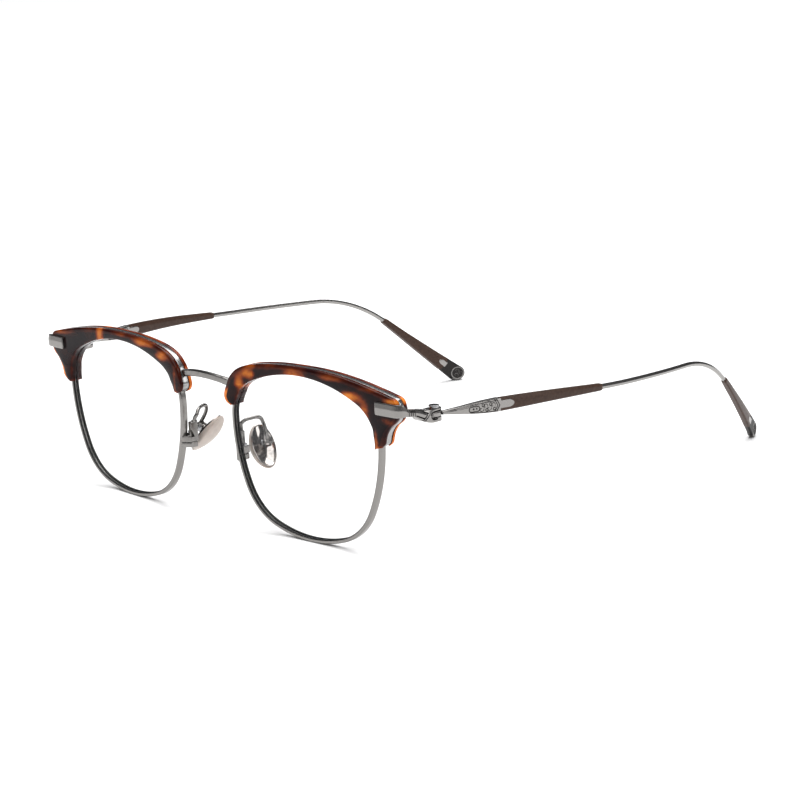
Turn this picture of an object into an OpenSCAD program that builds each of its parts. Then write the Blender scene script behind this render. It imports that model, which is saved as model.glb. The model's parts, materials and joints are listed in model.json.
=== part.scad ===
// Half rim eyeglasses: acetate brows over metal eyewires, thin metal temples.
// Millimetres. +Z is up, the front faces -Y, the temples run to +Y, +X is the wearer's left.
// The origin is on the floor under the middle of the object.

/* [Lens outline] */
// Distance between the two lens centres
lens_pitch = 71; // [69:0.5:74]
// Distance from the lens centre down to the middle of the wire
lens_drop = 21; // [20:0.5:23]
// Radius of the bottom of the outline
bottom_r = 38; // [37:0.5:39]
// Radius of the lower corners
corner_r = 16; // [15:0.5:17]
// Radius of the sides
side_r = 42; // [41:0.5:43]
// Radius of the upper corners
brow_corner_r = 11; // [10.5:0.5:11.5]
// Backward turn of each half of the front
wrap = 3.5; // [2:0.5:5]
// Tilt of each outline, nasal side up
lean = 1; // [0:0.5:2]

/* [Eyewire] */
// Thickness of the wire across the rim
wire_t = 1.1; // [1:0.1:1.3]
// Depth of the wire from front to back
wire_d = 1.8; // [1.6:0.1:1.9]

/* [Brow] */
// Depth of the brow from front to back
brow_d = 3.8; // [3.6:0.1:4]
// Thickness of the brow's front wall
front_wall = 1.2; // [1:0.1:1.3]
// Width of the channel in the brow's outer edge
channel_w = 1.5; // [1.4:0.1:1.6]
// Thickness of the metal strip in the channel
plate_t = 0.9; // [0.7:0.1:1.1]

/* [Bridge] */
// Height of the bridge bar
bridge_h = 1.6; // [1.4:0.1:1.8]
// Depth of the bridge bar
bridge_d = 1.2; // [1.1:0.1:1.3]

/* [Hinge] */
// Radius of the hinge leaves
leaf_r = 1.8; // [1.7:0.1:2]
// Radius of the hinge screw's shank
hinge_pin_r = 0.6; // [0.5:0.05:0.65]

/* [Temple] */
// Straight run of the temple before the ear bend
temple_straight = 85; // [80:1:88]
// Radius of the ear bend
ear_bend_r = 38; // [35:1:42]
// Slope of the temple's end
tip_slope = 42; // [40:1:45]
// Radius of the outward bow, seen from above
bow_r = 190; // [185:5:200]
// Half height of the paddle at the end
paddle_r = 2.3; // [2:0.1:2.5]

/* [Hidden] */
$fn = 48;
fit = 0.05;                 // clearance between pieces that are pushed together
far = 60;                   // reach of the cutting shapes

// ---- outline of the lens, as arcs that run into each other ----
// Each angle is where an arc ends, measured from straight down.
arc_ends = [18, 65, 90, 155, 180];
arc_starts = [0, 18, 65, 90, 155];
arc_first = [bottom_r, corner_r, side_r, brow_corner_r];
function sum(v, i = 0) = i < len(v) ? v[i] + sum(v, i + 1) : 0;
// The top radius closes the outline on the centre line.
arc_widths = [for (i = [0 : 3]) arc_first[i] * (sin(arc_ends[i]) - sin(arc_starts[i]))];
top_r = sum(arc_widths) / sin(arc_starts[4]);
arc_r = concat(arc_first, [top_r]);
arc_step = 3;               // degrees between points on an arc
function arc_end(i, d) = i < 0 ? [0, -lens_drop - d]
    : arc_end(i - 1, d) + (arc_r[i] + d) * [sin(arc_ends[i]) - sin(arc_starts[i]),
                                            cos(arc_starts[i]) - cos(arc_ends[i])];
function half_outline(d) = [for (i = [0 : 4])
    let (steps = ceil((arc_ends[i] - arc_starts[i]) / arc_step))
    for (k = [0 : steps - 1])
        let (a = arc_starts[i] + (arc_ends[i] - arc_starts[i]) * k / steps)
        arc_end(i - 1, d) + (arc_r[i] + d) * [sin(a) - sin(arc_starts[i]), cos(arc_starts[i]) - cos(a)]];
// Closed outline, moved outward by d from the middle of the wire.
function outline(d) =
    let (half = half_outline(d), n = len(half), top = arc_end(4, d))
    concat(half, [top], [for (i = [n - 1 : -1 : 1]) [-half[i][0], half[i][1]]]);

// ---- the brow's outer edge: a smooth curve through a few points ----
brow_top = [[-24.9, 10.1], [-26.5, 10.9], [-27.2, 12.3], [-26.9, 13.9], [-26.1, 15.5], [-24.9, 17.6],
    [-22, 20], [-17, 21.6], [-9, 22.6], [0, 22.9], [9, 22.7], [18, 21.7], [26, 20.2], [29.6, 19.4],
    [31.4, 18.9]];
brow_side = [[32.3, 18], [32.6, 16.6], [32.4, 14.6], [31.6, 13.2], [30, 11.9], [28.8, 10.3],
    [28.2, 8.8], [27.8, 7.4], [26.8, 6.4], [25.2, 6.1]];
curve_steps = 4;
function on_curve(a, b, c, d, t) = 0.5 * ((2 * b) + (c - a) * t + (2 * a - 5 * b + 4 * c - d) * t * t
    + (3 * b - a - 3 * c + d) * t * t * t);
function smooth(p) = let (n = len(p)) concat([for (i = [0 : n - 2]) for (k = [0 : curve_steps - 1])
    on_curve(p[max(i - 1, 0)], p[i], p[i + 1], p[min(i + 2, n - 1)], k / curve_steps)], [p[n - 1]]);
brow_edge = concat(smooth(brow_top), smooth(brow_side));
function unit(v) = v / norm(v);
// The same edge moved inward by d.
function inset_edge(d) = let (n = len(brow_edge)) [for (i = [0 : n - 1])
    let (along = unit(brow_edge[min(i + 1, n - 1)] - brow_edge[max(i - 1, 0)]))
    brow_edge[i] + d * [along[1], -along[0]]];
brow_hub = [0, 4];          // closes the brow's outline inside the lens opening

// ---- places on each half of the front, in the lens's own directions ----
floor_z = lens_drop + wire_t / 2;                   // lens centre above the floor
brow_front = -1.8;
brow_back = brow_front + brow_d;
channel_front = brow_front + front_wall;
channel_mid = channel_front + channel_w / 2;
web_t = 1.2;                                        // acetate between lens opening and channel
plate_inset = 0.25;                                 // strip lies this far inside the channel
foot_inset = 0.5;                                   // the strip's feet lie deeper in the brow
wire_socket = 5;                                    // length of wire inside each end of the brow
nasal_end = [-25.6, 10.4];                          // where the wire leaves the brow
temporal_end = [25.3, 6.1];
groove_d = 0.45;                                    // lens groove in wire and brow
groove_w = 0.7;

// ---- lug and hinge ----
hinge_x = 68.4;
hinge_y = 12;
hinge_z = 35;
lug_out = 70.2;             // outer and inner face of the hinge block
lug_in = 66.6;
knuckle_h = 1;              // height of the temple's knuckle
washer_t = 0.15;
washer_r = leaf_r - 0.4;
washer_gap = 0.01;
leaf_top = 36.5;
leaf_bottom = 33.4;
slot_half = knuckle_h / 2 + washer_t + 2 * washer_gap;
bar_u = [26.2, 34];         // the bar on the brow's front face
bar_w = [14.8, 18];
bar_t = 1;
corner_x = 69;              // the corner turns back past the brow's end
corner_y = [-0.6, 2.2];
corner_z = [36.4, 39.4];
neck_y = [2.2, 4.8];
neck_z = [35.9, 37.8];
block_from = 4.6;
lug_screw_u = [27.6, 31.4];
lug_screw_w = 16.3;
lug_screw_r = 0.6;
lug_screw_bite = 0.6;       // length of each screw inside the bar

// ---- rim lock ----
lock_u = [-26.6, -23.9];
lock_v = [wire_d / 2, 3.1];
lock_w = [-4.6, -3, -1, 2.3];                       // bottom, split, shoulder, top of the post
lock_gap = 0.05;
lock_screw_at = [-24.65, 2];
lock_screw_r = 0.4;
lock_screw_from = 0.2;                              // the screw's end, above the lock's bottom
post_t = 1.2;

// ---- nose pad ----
pad_mid = [10.9, 6.4, 19];
pad_long = unit([-0.6, 0.28, 0.75]);
pad_face_raw = [-0.75, 0.13, -0.65];
pad_face = unit(pad_face_raw - (pad_face_raw * pad_long) * pad_long);
pad_across = cross(pad_long, pad_face);
pad_size = [7, 12.8];
pad_rear = -0.4;                                    // rear face of the soft pad
pad_back_t = 0.5;
pad_axis_n = -2.3;                                  // pivot behind the pad's middle
pad_pin_r = 0.4;
ear_r = 1.1;
ear_t = 0.5;
ear_gap = 1.3;
arm_r = 0.5;
fork_back = -3.4;                                   // the fork's base behind the pad's middle
fork_t = 0.7;
arm_path = [[9.45, 0.9, floor_z + lock_w[3]], [9.45, 0.9, 24.9], [8.8, 1.5, 26.3], [9, 3.6, 26.9],
    [9.7, 5.8, 26.6], [10.9, 6.8, 25.4], [12.8, 6.7, 23.4], pad_mid + (fork_back - fork_t / 2) * pad_face];

// ---- temple ----
temple_start = [14, 35];                            // y and z where the temple leaves the hinge
temple_slope = 3;
bow_mid_x = -114.3;
bow_mid_y = 63.2;
bend_angle = tip_slope - temple_slope;
bend_len = ear_bend_r * bend_angle * PI / 180;
bend_at = temple_start + temple_straight * [cos(temple_slope), -sin(temple_slope)];
bend_out = bend_at + ear_bend_r * [sin(tip_slope) - sin(temple_slope), cos(tip_slope) - cos(temple_slope)];
tail_len = (bend_out[1] - paddle_r) / sin(tip_slope);
temple_len = temple_straight + bend_len + tail_len;
// Point and slope of the temple's middle line at a distance s from its start.
function temple_turn(s) = temple_slope
    + bend_angle * min(max((s - temple_straight) / bend_len, 0), 1);
function temple_at(s) = s <= temple_straight ? temple_start + s * [cos(temple_slope), -sin(temple_slope)]
    : s <= temple_straight + bend_len
        ? bend_at + ear_bend_r * [sin(temple_turn(s)) - sin(temple_slope),
                                  cos(temple_turn(s)) - cos(temple_slope)]
        : bend_out + (s - temple_straight - bend_len) * [cos(tip_slope), -sin(tip_slope)];
sleeve_from = 15.5;
tongue_end = 19.5;
wire_from = 49;
tip_from = 109.5;
cap_from = temple_len - 5;
cap_tongue = temple_len - 8.5;
// Distance along the temple and half height there.
spatula_from = -0.4;
spatula_h = [[spatula_from, 0.45], [0.6, 0.5], [5, 0.95], [8, 1.3], [11, 1.55], [15, 1.7], [15.5, 1.65]];
sleeve_h = [[15.5, 1.7], [22, 1.6], [36, 1.25], [49, 0.9]];
wire_h = [[48.9, 0.65], [80, 0.6], [109.6, 0.6]];
tip_h = [[109.5, 0.8], [117.5, 1.1], [129.5, 1.75], [temple_len, paddle_r]];
spatula_t = 1.8;
sleeve_t = 1.7;
wire_thick = 1.2;
core_t = 0.8;
tip_t = 2;
function height_at(table, s, i = 0) = i >= len(table) - 2 || s < table[i + 1][0]
    ? table[i][1] + (table[i + 1][1] - table[i][1]) * (s - table[i][0]) / (table[i + 1][0] - table[i][0])
    : height_at(table, s, i + 1);
edge_step = 2;
// The upper (side 1) or lower (side -1) edge of the side view from one distance to another.
function temple_edge(table, from, to, side) =
    let (n = ceil(abs(to - from) / edge_step)) [for (k = [0 : n])
        let (s = from + (to - from) * k / n, a = temple_turn(s), h = height_at(table, s) * side)
        temple_at(s) + h * [sin(a), cos(a)]];

// ---- the origin goes under the middle of the whole object ----
bridge_mid_y = -3;
front_y = bridge_mid_y - bridge_h / 2 + 0.1;
back_y = temple_at(temple_len)[0] + paddle_r;
middle_y = (front_y + back_y) / 2;

module on_floor() { translate([0, -middle_y, 0]) children(); }
module mirrored(side) { mirror([side < 0 ? 1 : 0, 0, 0]) children(); }
module place(side) { on_floor() mirrored(side) children(); }
// Puts a shape drawn as outward, up, with its depth along Y, on one half of the front.
module half_front(side) {
    place(side) translate([lens_pitch / 2, 0, floor_z]) rotate([0, 0, wrap]) children();
}
// Extrudes a flat outline from depth v0 to v1.
module slab(points, v0, v1) {
    translate([0, v1, 0]) rotate([90, 0, 0]) linear_extrude(v1 - v0) polygon(points);
}
module lens_slab(d, v0, v1) { rotate([0, lean, 0]) slab(outline(d), v0, v1); }
// Extrudes an outline drawn as back, up from x0 to x1.
module side_cut(points, x0, x1) {
    translate([x0, 0, 0]) rotate([90, 0, 90]) linear_extrude(x1 - x0) polygon(points);
}
module bar(from, to, r) {
    v = to - from;
    translate(from) rotate([0, acos(v[2] / norm(v)), atan2(v[1], v[0])]) cylinder(r = r, h = norm(v));
}

// ---- bridge ----
bridge_ends = [9.5, -1.4, 36.9];
bridge_rise = [bridge_mid_y - bridge_ends[1], 38.3 - bridge_ends[2]];
bridge_sag = norm(bridge_rise);
bridge_r = (pow(bridge_ends[0], 2) + pow(bridge_sag, 2)) / (2 * bridge_sag);
bridge_half = asin(bridge_ends[0] / bridge_r);
bridge_tilt = atan2(-bridge_rise[0], bridge_rise[1]);
bridge_bevel = 0.3;
module bridge() {
    h = bridge_h / 2;
    d = bridge_d / 2;
    c = bridge_bevel;
    color("dimgray") on_floor()
        translate([0, bridge_ends[1], bridge_ends[2]]) rotate([bridge_tilt, 0, 0])
        translate([0, 0, bridge_sag - bridge_r]) rotate([90, 0, 0])
        rotate([0, 0, 90 - bridge_half]) rotate_extrude(angle = 2 * bridge_half, $fn = 180)
        translate([bridge_r, 0]) rotate(-bridge_tilt)
        polygon([[-h, c - d], [c - h, -d], [h - c, -d], [h, c - d],
            [h, d - c], [h - c, d], [c - h, d], [-h, d - c]]);
}

// ---- brow, strip, eyewire and lens ----
module wire_ring() {
    difference() {
        lens_slab(wire_t / 2, -wire_d / 2, wire_d / 2);
        lens_slab(-wire_t / 2, -far, far);
    }
}
// Everything below the line on which the wire's two ends stop.
module below_ends(raise) {
    slab([nasal_end + [-far, raise], nasal_end + [0, raise], temporal_end + [0, raise],
        temporal_end + [far, raise], [far, -far], [-far, -far]], -far, far);
}
// The brow's two ends outside the offset d from the wire, out past the brow's edge by reach.
module open_ends(d, reach, half_depth, raise) {
    intersection() {
        difference() {
            slab(concat(inset_edge(-reach), [brow_hub]), -half_depth, half_depth);
            lens_slab(d, -far, far);
        }
        below_ends(wire_socket + raise);
    }
}
module brow(side) {
    color("saddlebrown") half_front(side) difference() {
        slab(concat(brow_edge, [brow_hub]), brow_front, brow_back);
        lens_slab(-wire_t / 2, -far, far);
        lens_slab(groove_d - wire_t / 2, -groove_w / 2, groove_w / 2);
        difference() {
            slab(concat(inset_edge(-1), [brow_hub]), channel_front, channel_front + channel_w);
            lens_slab(web_t - wire_t / 2, -far, far);
        }
        open_ends(-wire_t / 2 - fit, 1, wire_d / 2 + fit, fit);
        for (u = lug_screw_u) translate([u, 0, lug_screw_w]) rotate([90, 0, 0])
            cylinder(r = lug_screw_r + fit, h = 2 * far, center = true);
    }
}
module brow_plate(side) {
    color("silver") half_front(side) difference() {
        union() {
            difference() {
                slab(concat(inset_edge(plate_inset), [brow_hub]),
                    channel_mid - plate_t / 2, channel_mid + plate_t / 2);
                lens_slab(web_t - wire_t / 2, -far, far);
            }
            open_ends(wire_t / 2, -foot_inset, wire_d / 2, 0);
        }
        for (u = lug_screw_u) translate([u, 0, lug_screw_w]) rotate([90, 0, 0])
            cylinder(r = lug_screw_r + fit, h = 2 * far, center = true);
    }
}
module eyewire(side) {
    color("slategray") half_front(side) difference() {
        intersection() {
            wire_ring();
            below_ends(wire_socket);
        }
        lens_slab(groove_d - wire_t / 2, -groove_w / 2, groove_w / 2);
        translate([-far, -far, lock_w[1]]) cube([far, 2 * far, lock_gap]);
    }
}
lens_t = 1.6;
lens_curve_r = 160;
lens_sag = 1.7;
module lens(side) {
    color([0.85, 0.9, 0.95, 0.35]) half_front(side) {
        intersection() {
            lens_slab(-wire_t / 2 - fit, -far, far);
            translate([0, lens_curve_r - lens_sag - lens_t / 2, 0]) difference() {
                sphere(r = lens_curve_r, $fn = 96);
                sphere(r = lens_curve_r - lens_t, $fn = 96);
            }
        }
        difference() {
            lens_slab(groove_d - wire_t / 2 - fit, -groove_w / 2 + fit, groove_w / 2 - fit);
            lens_slab(-wire_t / 2 - 1, -far, far);
        }
    }
}

// ---- lug with the hinge leaves ----
module hinge_bore(r) { translate([hinge_x, hinge_y, 0]) cylinder(r = r, h = 2 * far); }
module box(x, y, z) { translate([x[0], y[0], z[0]]) cube([x[1] - x[0], y[1] - y[0], z[1] - z[0]]); }
module lug(side) {
    block_side = [[block_from, 35.3], [block_from, 37.3], [7, 37.2], [9.6, 36.9], [10, leaf_top],
        [hinge_y, leaf_top], [hinge_y, leaf_bottom], [9, 33.6], [6.5, 34.2]];
    color("dimgray") difference() {
        union() {
            half_front(side) difference() {
                box(bar_u, [brow_front - bar_t, brow_front], bar_w);
                for (u = lug_screw_u) translate([u, brow_front, lug_screw_w]) rotate([90, 0, 0])
                    cylinder(r = lug_screw_r, h = lug_screw_bite);
            }
            place(side) {
                box([corner_x, lug_out], corner_y, corner_z);
                box([corner_x, lug_out], neck_y, neck_z);
                side_cut(block_side, lug_in, lug_out);
                translate([hinge_x, hinge_y, leaf_bottom]) cylinder(r = leaf_r, h = leaf_top - leaf_bottom);
            }
        }
        place(side) {
            box([lug_in - 1, lug_out + 1], [hinge_y - leaf_r - 0.2, far],
                [hinge_z - slot_half, hinge_z + slot_half]);
            hinge_bore(hinge_pin_r);
        }
    }
}

module lug_screws(side) {
    head_r = 1.1;
    head_h = 0.4;
    slot_w = 0.3;
    slot_d = 0.2;
    color("silver") half_front(side) for (u = lug_screw_u)
        translate([u, brow_back, lug_screw_w]) difference() {
            union() {
                rotate([90, 0, 0]) cylinder(r = lug_screw_r, h = brow_d + lug_screw_bite);
                rotate([-90, 0, 0]) cylinder(r = head_r, h = head_h);
            }
            box([-head_r, head_r], [head_h - slot_d, 1], [-slot_w / 2, slot_w / 2]);
        }
}

// ---- rim lock ----
module lock_screw_hole(r) {
    translate([lock_screw_at[0], lock_screw_at[1], lock_w[0] - 1]) cylinder(r = r, h = far);
}
module lock_top(side) {
    color("dimgray") half_front(side) difference() {
        union() {
            box(lock_u, lock_v, [lock_w[1] + lock_gap, lock_w[2]]);
            box([lock_u[0], lock_u[0] + post_t], lock_v, [lock_w[2], lock_w[3]]);
        }
        lock_screw_hole(lock_screw_r + fit);
    }
}
module lock_bottom(side) {
    color("dimgray") half_front(side) difference() {
        box(lock_u, lock_v, [lock_w[0], lock_w[1]]);
        lock_screw_hole(lock_screw_r);
    }
}
module lock_screw(side) {
    head_r = 0.65;
    head_h = 0.6;
    slot_w = 0.24;
    slot_d = 0.25;
    shank = lock_w[2] - lock_w[0] - lock_screw_from;
    color("silver") half_front(side)
        translate([lock_screw_at[0], lock_screw_at[1], lock_w[0] + lock_screw_from]) difference() {
            union() {
                cylinder(r = lock_screw_r, h = shank);
                translate([0, 0, shank]) cylinder(r = head_r, h = head_h);
            }
            box([-head_r, head_r], [-slot_w / 2, slot_w / 2], [shank + head_h - slot_d, far]);
        }
}

// ---- nose pads ----
// Local X runs across the pad, Y up along it, Z out of its face.
module pad_frame(side) {
    place(side) multmatrix([for (i = [0 : 2]) [pad_across[i], pad_long[i], pad_face[i], pad_mid[i]]])
        children();
}
module pad_outline(w, l) { polygon([for (a = [0 : 10 : 350]) [w / 2 * cos(a), l / 2 * sin(a)]]); }
module across(r, x0, x1) { translate([x0, 0, pad_axis_n]) rotate([0, 90, 0]) cylinder(r = r, h = x1 - x0); }
module pad_arm(side) {
    ear_x = [ear_gap / 2, ear_gap / 2 + ear_t];
    fork_w = 1.8;
    knee_r = arm_r + 0.04;
    color("dimgray") {
        place(side) {
            for (i = [0 : len(arm_path) - 2]) bar(arm_path[i], arm_path[i + 1], arm_r);
            for (i = [1 : len(arm_path) - 2]) translate(arm_path[i]) sphere(r = knee_r);
        }
        pad_frame(side) {
            box([-ear_x[1], ear_x[1]], [-fork_w / 2, fork_w / 2], [fork_back - fork_t, fork_back]);
            for (s = [-1, 1]) mirror([s < 0 ? 1 : 0, 0, 0]) difference() {
                union() {
                    across(ear_r, ear_x[0], ear_x[1]);
                    box(ear_x, [-fork_w / 2, fork_w / 2], [fork_back, pad_axis_n]);
                }
                across(pad_pin_r, 0, 2 * ear_x[1]);
            }
        }
    }
}
module nose_pad(side) {
    dome_r = 15.3;
    dome_top = 1.3;
    color("linen") pad_frame(side) intersection() {
        translate([0, 0, pad_rear]) linear_extrude(2) pad_outline(pad_size[0], pad_size[1]);
        translate([0, 0, dome_top - dome_r]) sphere(r = dome_r, $fn = 64);
    }
}
module pad_back(side) {
    tab_t = 1.1;
    tab_r = 1;
    rim = 0.3;
    color("silver") pad_frame(side) difference() {
        union() {
            translate([0, 0, pad_rear - pad_back_t]) linear_extrude(pad_back_t)
                pad_outline(pad_size[0] - 2 * rim, pad_size[1] - 2 * rim);
            box([-tab_t / 2, tab_t / 2], [-tab_r, tab_r], [pad_axis_n, pad_rear - pad_back_t / 2]);
            across(tab_r, -tab_t / 2, tab_t / 2);
        }
        across(pad_pin_r + fit, -tab_t, tab_t);
    }
}
module pad_screw(side) {
    end = ear_gap / 2 + ear_t;
    head_r = 0.75;
    head_h = 0.4;
    slot_w = 0.2;
    slot_d = 0.2;
    color("silver") pad_frame(side) difference() {
        union() {
            across(pad_pin_r, -end, end);
            across(head_r, end, end + head_h);
        }
        box([end + head_h - slot_d, far], [-head_r, head_r],
            [pad_axis_n - slot_w / 2, pad_axis_n + slot_w / 2]);
    }
}

// ---- hinge ----
module hinge_screw(side) {
    head_r = 1.3;
    head_h = 0.7;
    slot_w = 0.3;
    slot_d = 0.3;
    color("silver") place(side) translate([hinge_x, hinge_y, leaf_top]) difference() {
        union() {
            translate([0, 0, leaf_bottom - leaf_top]) cylinder(r = hinge_pin_r, h = leaf_top - leaf_bottom);
            cylinder(r = head_r, h = head_h);
        }
        box([-head_r, head_r], [-slot_w / 2, slot_w / 2], [head_h - slot_d, far]);
    }
}
module hinge_washers(side) {
    bore_r = hinge_pin_r + 0.03;
    lift = knuckle_h / 2 + washer_gap;
    color("silver") place(side) for (z = [lift, -lift - washer_t])
        translate([hinge_x, hinge_y, hinge_z + z]) difference() {
            cylinder(r = washer_r, h = washer_t);
            translate([0, 0, -1]) cylinder(r = bore_r, h = 2);
        }
}

// ---- temple ----
// A flat strip bent to the temple's bow, cut to the side view given as a table of half heights.
module bow_band(t) {
    translate([bow_mid_x, bow_mid_y, -1]) difference() {
        cylinder(r = bow_r + t / 2, h = far, $fn = 360);
        translate([0, 0, -1]) cylinder(r = bow_r - t / 2, h = far + 2, $fn = 360);
    }
}
temple_x = [40, 90];        // the cut side view reaches across the whole band
module temple_piece(table, from, to, t, end_r = 0) {
    intersection() {
        bow_band(t);
        union() {
            side_cut(concat(temple_edge(table, from, to, 1), temple_edge(table, to, from, -1)),
                temple_x[0], temple_x[1]);
            if (end_r > 0) let (p = temple_at(to)) translate([temple_x[0], p[0], p[1]])
                rotate([0, 90, 0]) cylinder(r = end_r, h = temple_x[1] - temple_x[0]);
        }
    }
}
lap = 0.1;                  // pieces of one solid run into each other by this much
core_half = 0.4;
tongue_h = [[sleeve_from - lap, 1], [18.3, 1], [19.1, 0.7], [tongue_end, 0.25]];
cap_tongue_h = [[cap_tongue, 0.25], [cap_tongue + 0.5, 0.7], [cap_tongue + 1.3, 1], [cap_from + lap, 1]];
core_h = [[sleeve_from - lap, core_half], [cap_from, core_half]];
module temple(side) {
    color("dimgray") place(side) difference() {
        union() {
            temple_piece(spatula_h, spatula_from, sleeve_from, spatula_t);
            temple_piece(tongue_h, sleeve_from - lap, tongue_end, spatula_t);
            temple_piece(core_h, sleeve_from - lap, wire_from, core_t);
            temple_piece(wire_h, wire_from, tip_from, wire_thick);
            temple_piece(core_h, tip_from - lap, cap_from, core_t);
            translate([hinge_x, hinge_y, hinge_z - knuckle_h / 2]) cylinder(r = leaf_r - 0.1, h = knuckle_h);
        }
        hinge_bore(hinge_pin_r + fit);
    }
}
module temple_sleeve(side) {
    color([0.27, 0.21, 0.18]) place(side) difference() {
        temple_piece(sleeve_h, sleeve_from, wire_from, sleeve_t);
        temple_piece(tongue_h, sleeve_from - lap, tongue_end, spatula_t + 1);
        temple_piece(core_h, sleeve_from - lap, wire_from + 1, core_t);
    }
}
module tip_sleeve(side) {
    color([0.27, 0.21, 0.18]) place(side) difference() {
        temple_piece(tip_h, tip_from, cap_from, tip_t);
        temple_piece(cap_tongue_h, cap_tongue, cap_from + lap, tip_t + 1);
        temple_piece(core_h, tip_from - 1, cap_from + 1, core_t);
    }
}
module tip_cap(side) {
    color("gray") place(side) {
        temple_piece(tip_h, cap_from, temple_len, tip_t, paddle_r);
        difference() {
            temple_piece(cap_tongue_h, cap_tongue, cap_from + lap, tip_t);
            temple_piece(core_h, tip_from - 1, cap_from, core_t);
        }
    }
}

bridge();
brow(1);  // brow_left
brow(-1);  // brow_right
brow_plate(1);  // brow_plate_left
brow_plate(-1);  // brow_plate_right
eyewire(1);  // eyewire_left
eyewire(-1);  // eyewire_right
lens(1);  // lens_left
lens(-1);  // lens_right
lug(1);  // lug_left
lug(-1);  // lug_right
lug_screws(1);  // lug_screws_left
lug_screws(-1);  // lug_screws_right
lock_top(1);  // lock_top_left
lock_top(-1);  // lock_top_right
lock_bottom(1);  // lock_bottom_left
lock_bottom(-1);  // lock_bottom_right
lock_screw(1);  // lock_screw_left
lock_screw(-1);  // lock_screw_right
pad_arm(1);  // pad_arm_left
pad_arm(-1);  // pad_arm_right
nose_pad(1);  // nose_pad_left
nose_pad(-1);  // nose_pad_right
pad_back(1);  // pad_back_left
pad_back(-1);  // pad_back_right
pad_screw(1);  // pad_screw_left
pad_screw(-1);  // pad_screw_right
hinge_screw(1);  // hinge_screw_left
hinge_screw(-1);  // hinge_screw_right
hinge_washers(1);  // hinge_washers_left
hinge_washers(-1);  // hinge_washers_right
temple(1);  // temple_left
temple(-1);  // temple_right
temple_sleeve(1);  // temple_sleeve_left
temple_sleeve(-1);  // temple_sleeve_right
tip_sleeve(1);  // tip_sleeve_left
tip_sleeve(-1);  // tip_sleeve_right
tip_cap(1);  // tip_cap_left
tip_cap(-1);  // tip_cap_right
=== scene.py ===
"""Half rim eyeglasses: the visible pieces, their materials, the camera, the lights and the floor.

Shapes are worked out in millimetres in the frame's own directions: +Z up, the front faces -Y, the
temples run to +Y and +X is the wearer's left. Each half is made once and mirrored in X.
"""

import json
import math

import bmesh
import bpy
import numpy as np
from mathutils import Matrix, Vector


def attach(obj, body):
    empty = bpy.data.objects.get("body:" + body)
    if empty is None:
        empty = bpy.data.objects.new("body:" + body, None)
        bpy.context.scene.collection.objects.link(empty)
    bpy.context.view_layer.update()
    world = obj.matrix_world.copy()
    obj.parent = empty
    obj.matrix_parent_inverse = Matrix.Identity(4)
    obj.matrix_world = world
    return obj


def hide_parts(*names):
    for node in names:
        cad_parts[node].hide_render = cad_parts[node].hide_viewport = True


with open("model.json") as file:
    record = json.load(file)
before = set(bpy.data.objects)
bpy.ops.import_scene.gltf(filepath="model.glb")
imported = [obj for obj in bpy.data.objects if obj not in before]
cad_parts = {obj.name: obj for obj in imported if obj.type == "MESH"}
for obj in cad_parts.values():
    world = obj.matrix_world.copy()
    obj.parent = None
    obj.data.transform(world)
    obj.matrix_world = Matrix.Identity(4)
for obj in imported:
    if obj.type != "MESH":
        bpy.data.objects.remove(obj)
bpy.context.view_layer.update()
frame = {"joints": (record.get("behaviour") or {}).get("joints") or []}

# ---------------------------------------------------------------- driving dimensions, millimetres
MM = 0.001
SIDES = {"left": 1, "right": -1}
JOINTS = {j["name"]: j for j in frame["joints"]}
HINGE = np.array(JOINTS["temple_fold_left"]["pos_m"]) / MM
HINGE_FROM_LENS = 12.0
LENS_Y = HINGE[1] - HINGE_FROM_LENS  # the lens plane, in the frame

LENS_PITCH = 71.0
LENS_DROP = 21.0
WRAP = math.radians(3.5)
LEAN = math.radians(1.0)
ARC_ENDS = [18.0, 65.0, 90.0, 155.0, 180.0]
ARC_STARTS = [0.0, 18.0, 65.0, 90.0, 155.0]
ARC_RADII = [38.0, 16.0, 42.0, 11.0]
WIRE_T = 1.1
FLOOR_Z = LENS_DROP + WIRE_T / 2

BROW_FRONT = -1.8
BROW_BACK = 2.0
CHANNEL = (-0.6, 0.9)
CHANNEL_DEPTH = 1.1
GROOVE_HALF = 0.35
GROOVE_DEPTH = 0.45


def sind(a):
    """Sine of an angle in degrees."""
    return np.sin(np.radians(a))


def cosd(a):
    """Cosine of an angle in degrees."""
    return np.cos(np.radians(a))


def unit(v):
    """The vector, or each row of vectors, at length 1."""
    v = np.asarray(v, float)
    return v / np.linalg.norm(v, axis=-1, keepdims=True)


TOP_RADIUS = sum(
    r * (sind(e) - sind(s)) for r, s, e in zip(ARC_RADII, ARC_STARTS, ARC_ENDS)
) / sind(ARC_STARTS[4])
RADII = ARC_RADII + [TOP_RADIUS]


# ---------------------------------------------------------------- curves
def outline(angle, offset=0.0):
    """Point on the lens outline, offset outward from the middle of the wire, for an angle in degrees
    from straight down: 90 is the outer side, 180 the top and 270 the nasal side."""
    a = angle % 360.0
    flip = a > 180.0
    if flip:
        a = 360.0 - a
    p = np.array([0.0, -LENS_DROP - offset])
    for start, end, r in zip(ARC_STARTS, ARC_ENDS, RADII):
        stop = min(a, end)
        p = p + (r + offset) * np.array([sind(stop) - sind(start), cosd(start) - cosd(stop)])
        if a <= end:
            break
    if flip:
        p[0] = -p[0]
    c, s = math.cos(LEAN), math.sin(LEAN)
    return np.array([p[0] * c + p[1] * s, -p[0] * s + p[1] * c])


def arc_angles(start, end, step=0.5):
    """Angles from start to end, evenly spaced along the lens outline by about step millimetres."""
    dense = np.linspace(start, end, 1500)
    points = np.array([outline(a) for a in dense])
    run = np.concatenate([[0], np.cumsum(np.linalg.norm(np.diff(points, axis=0), axis=1))])
    count = int(math.ceil(run[-1] / step)) + 1
    return np.interp(np.linspace(0, run[-1], count), run, dense)


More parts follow.
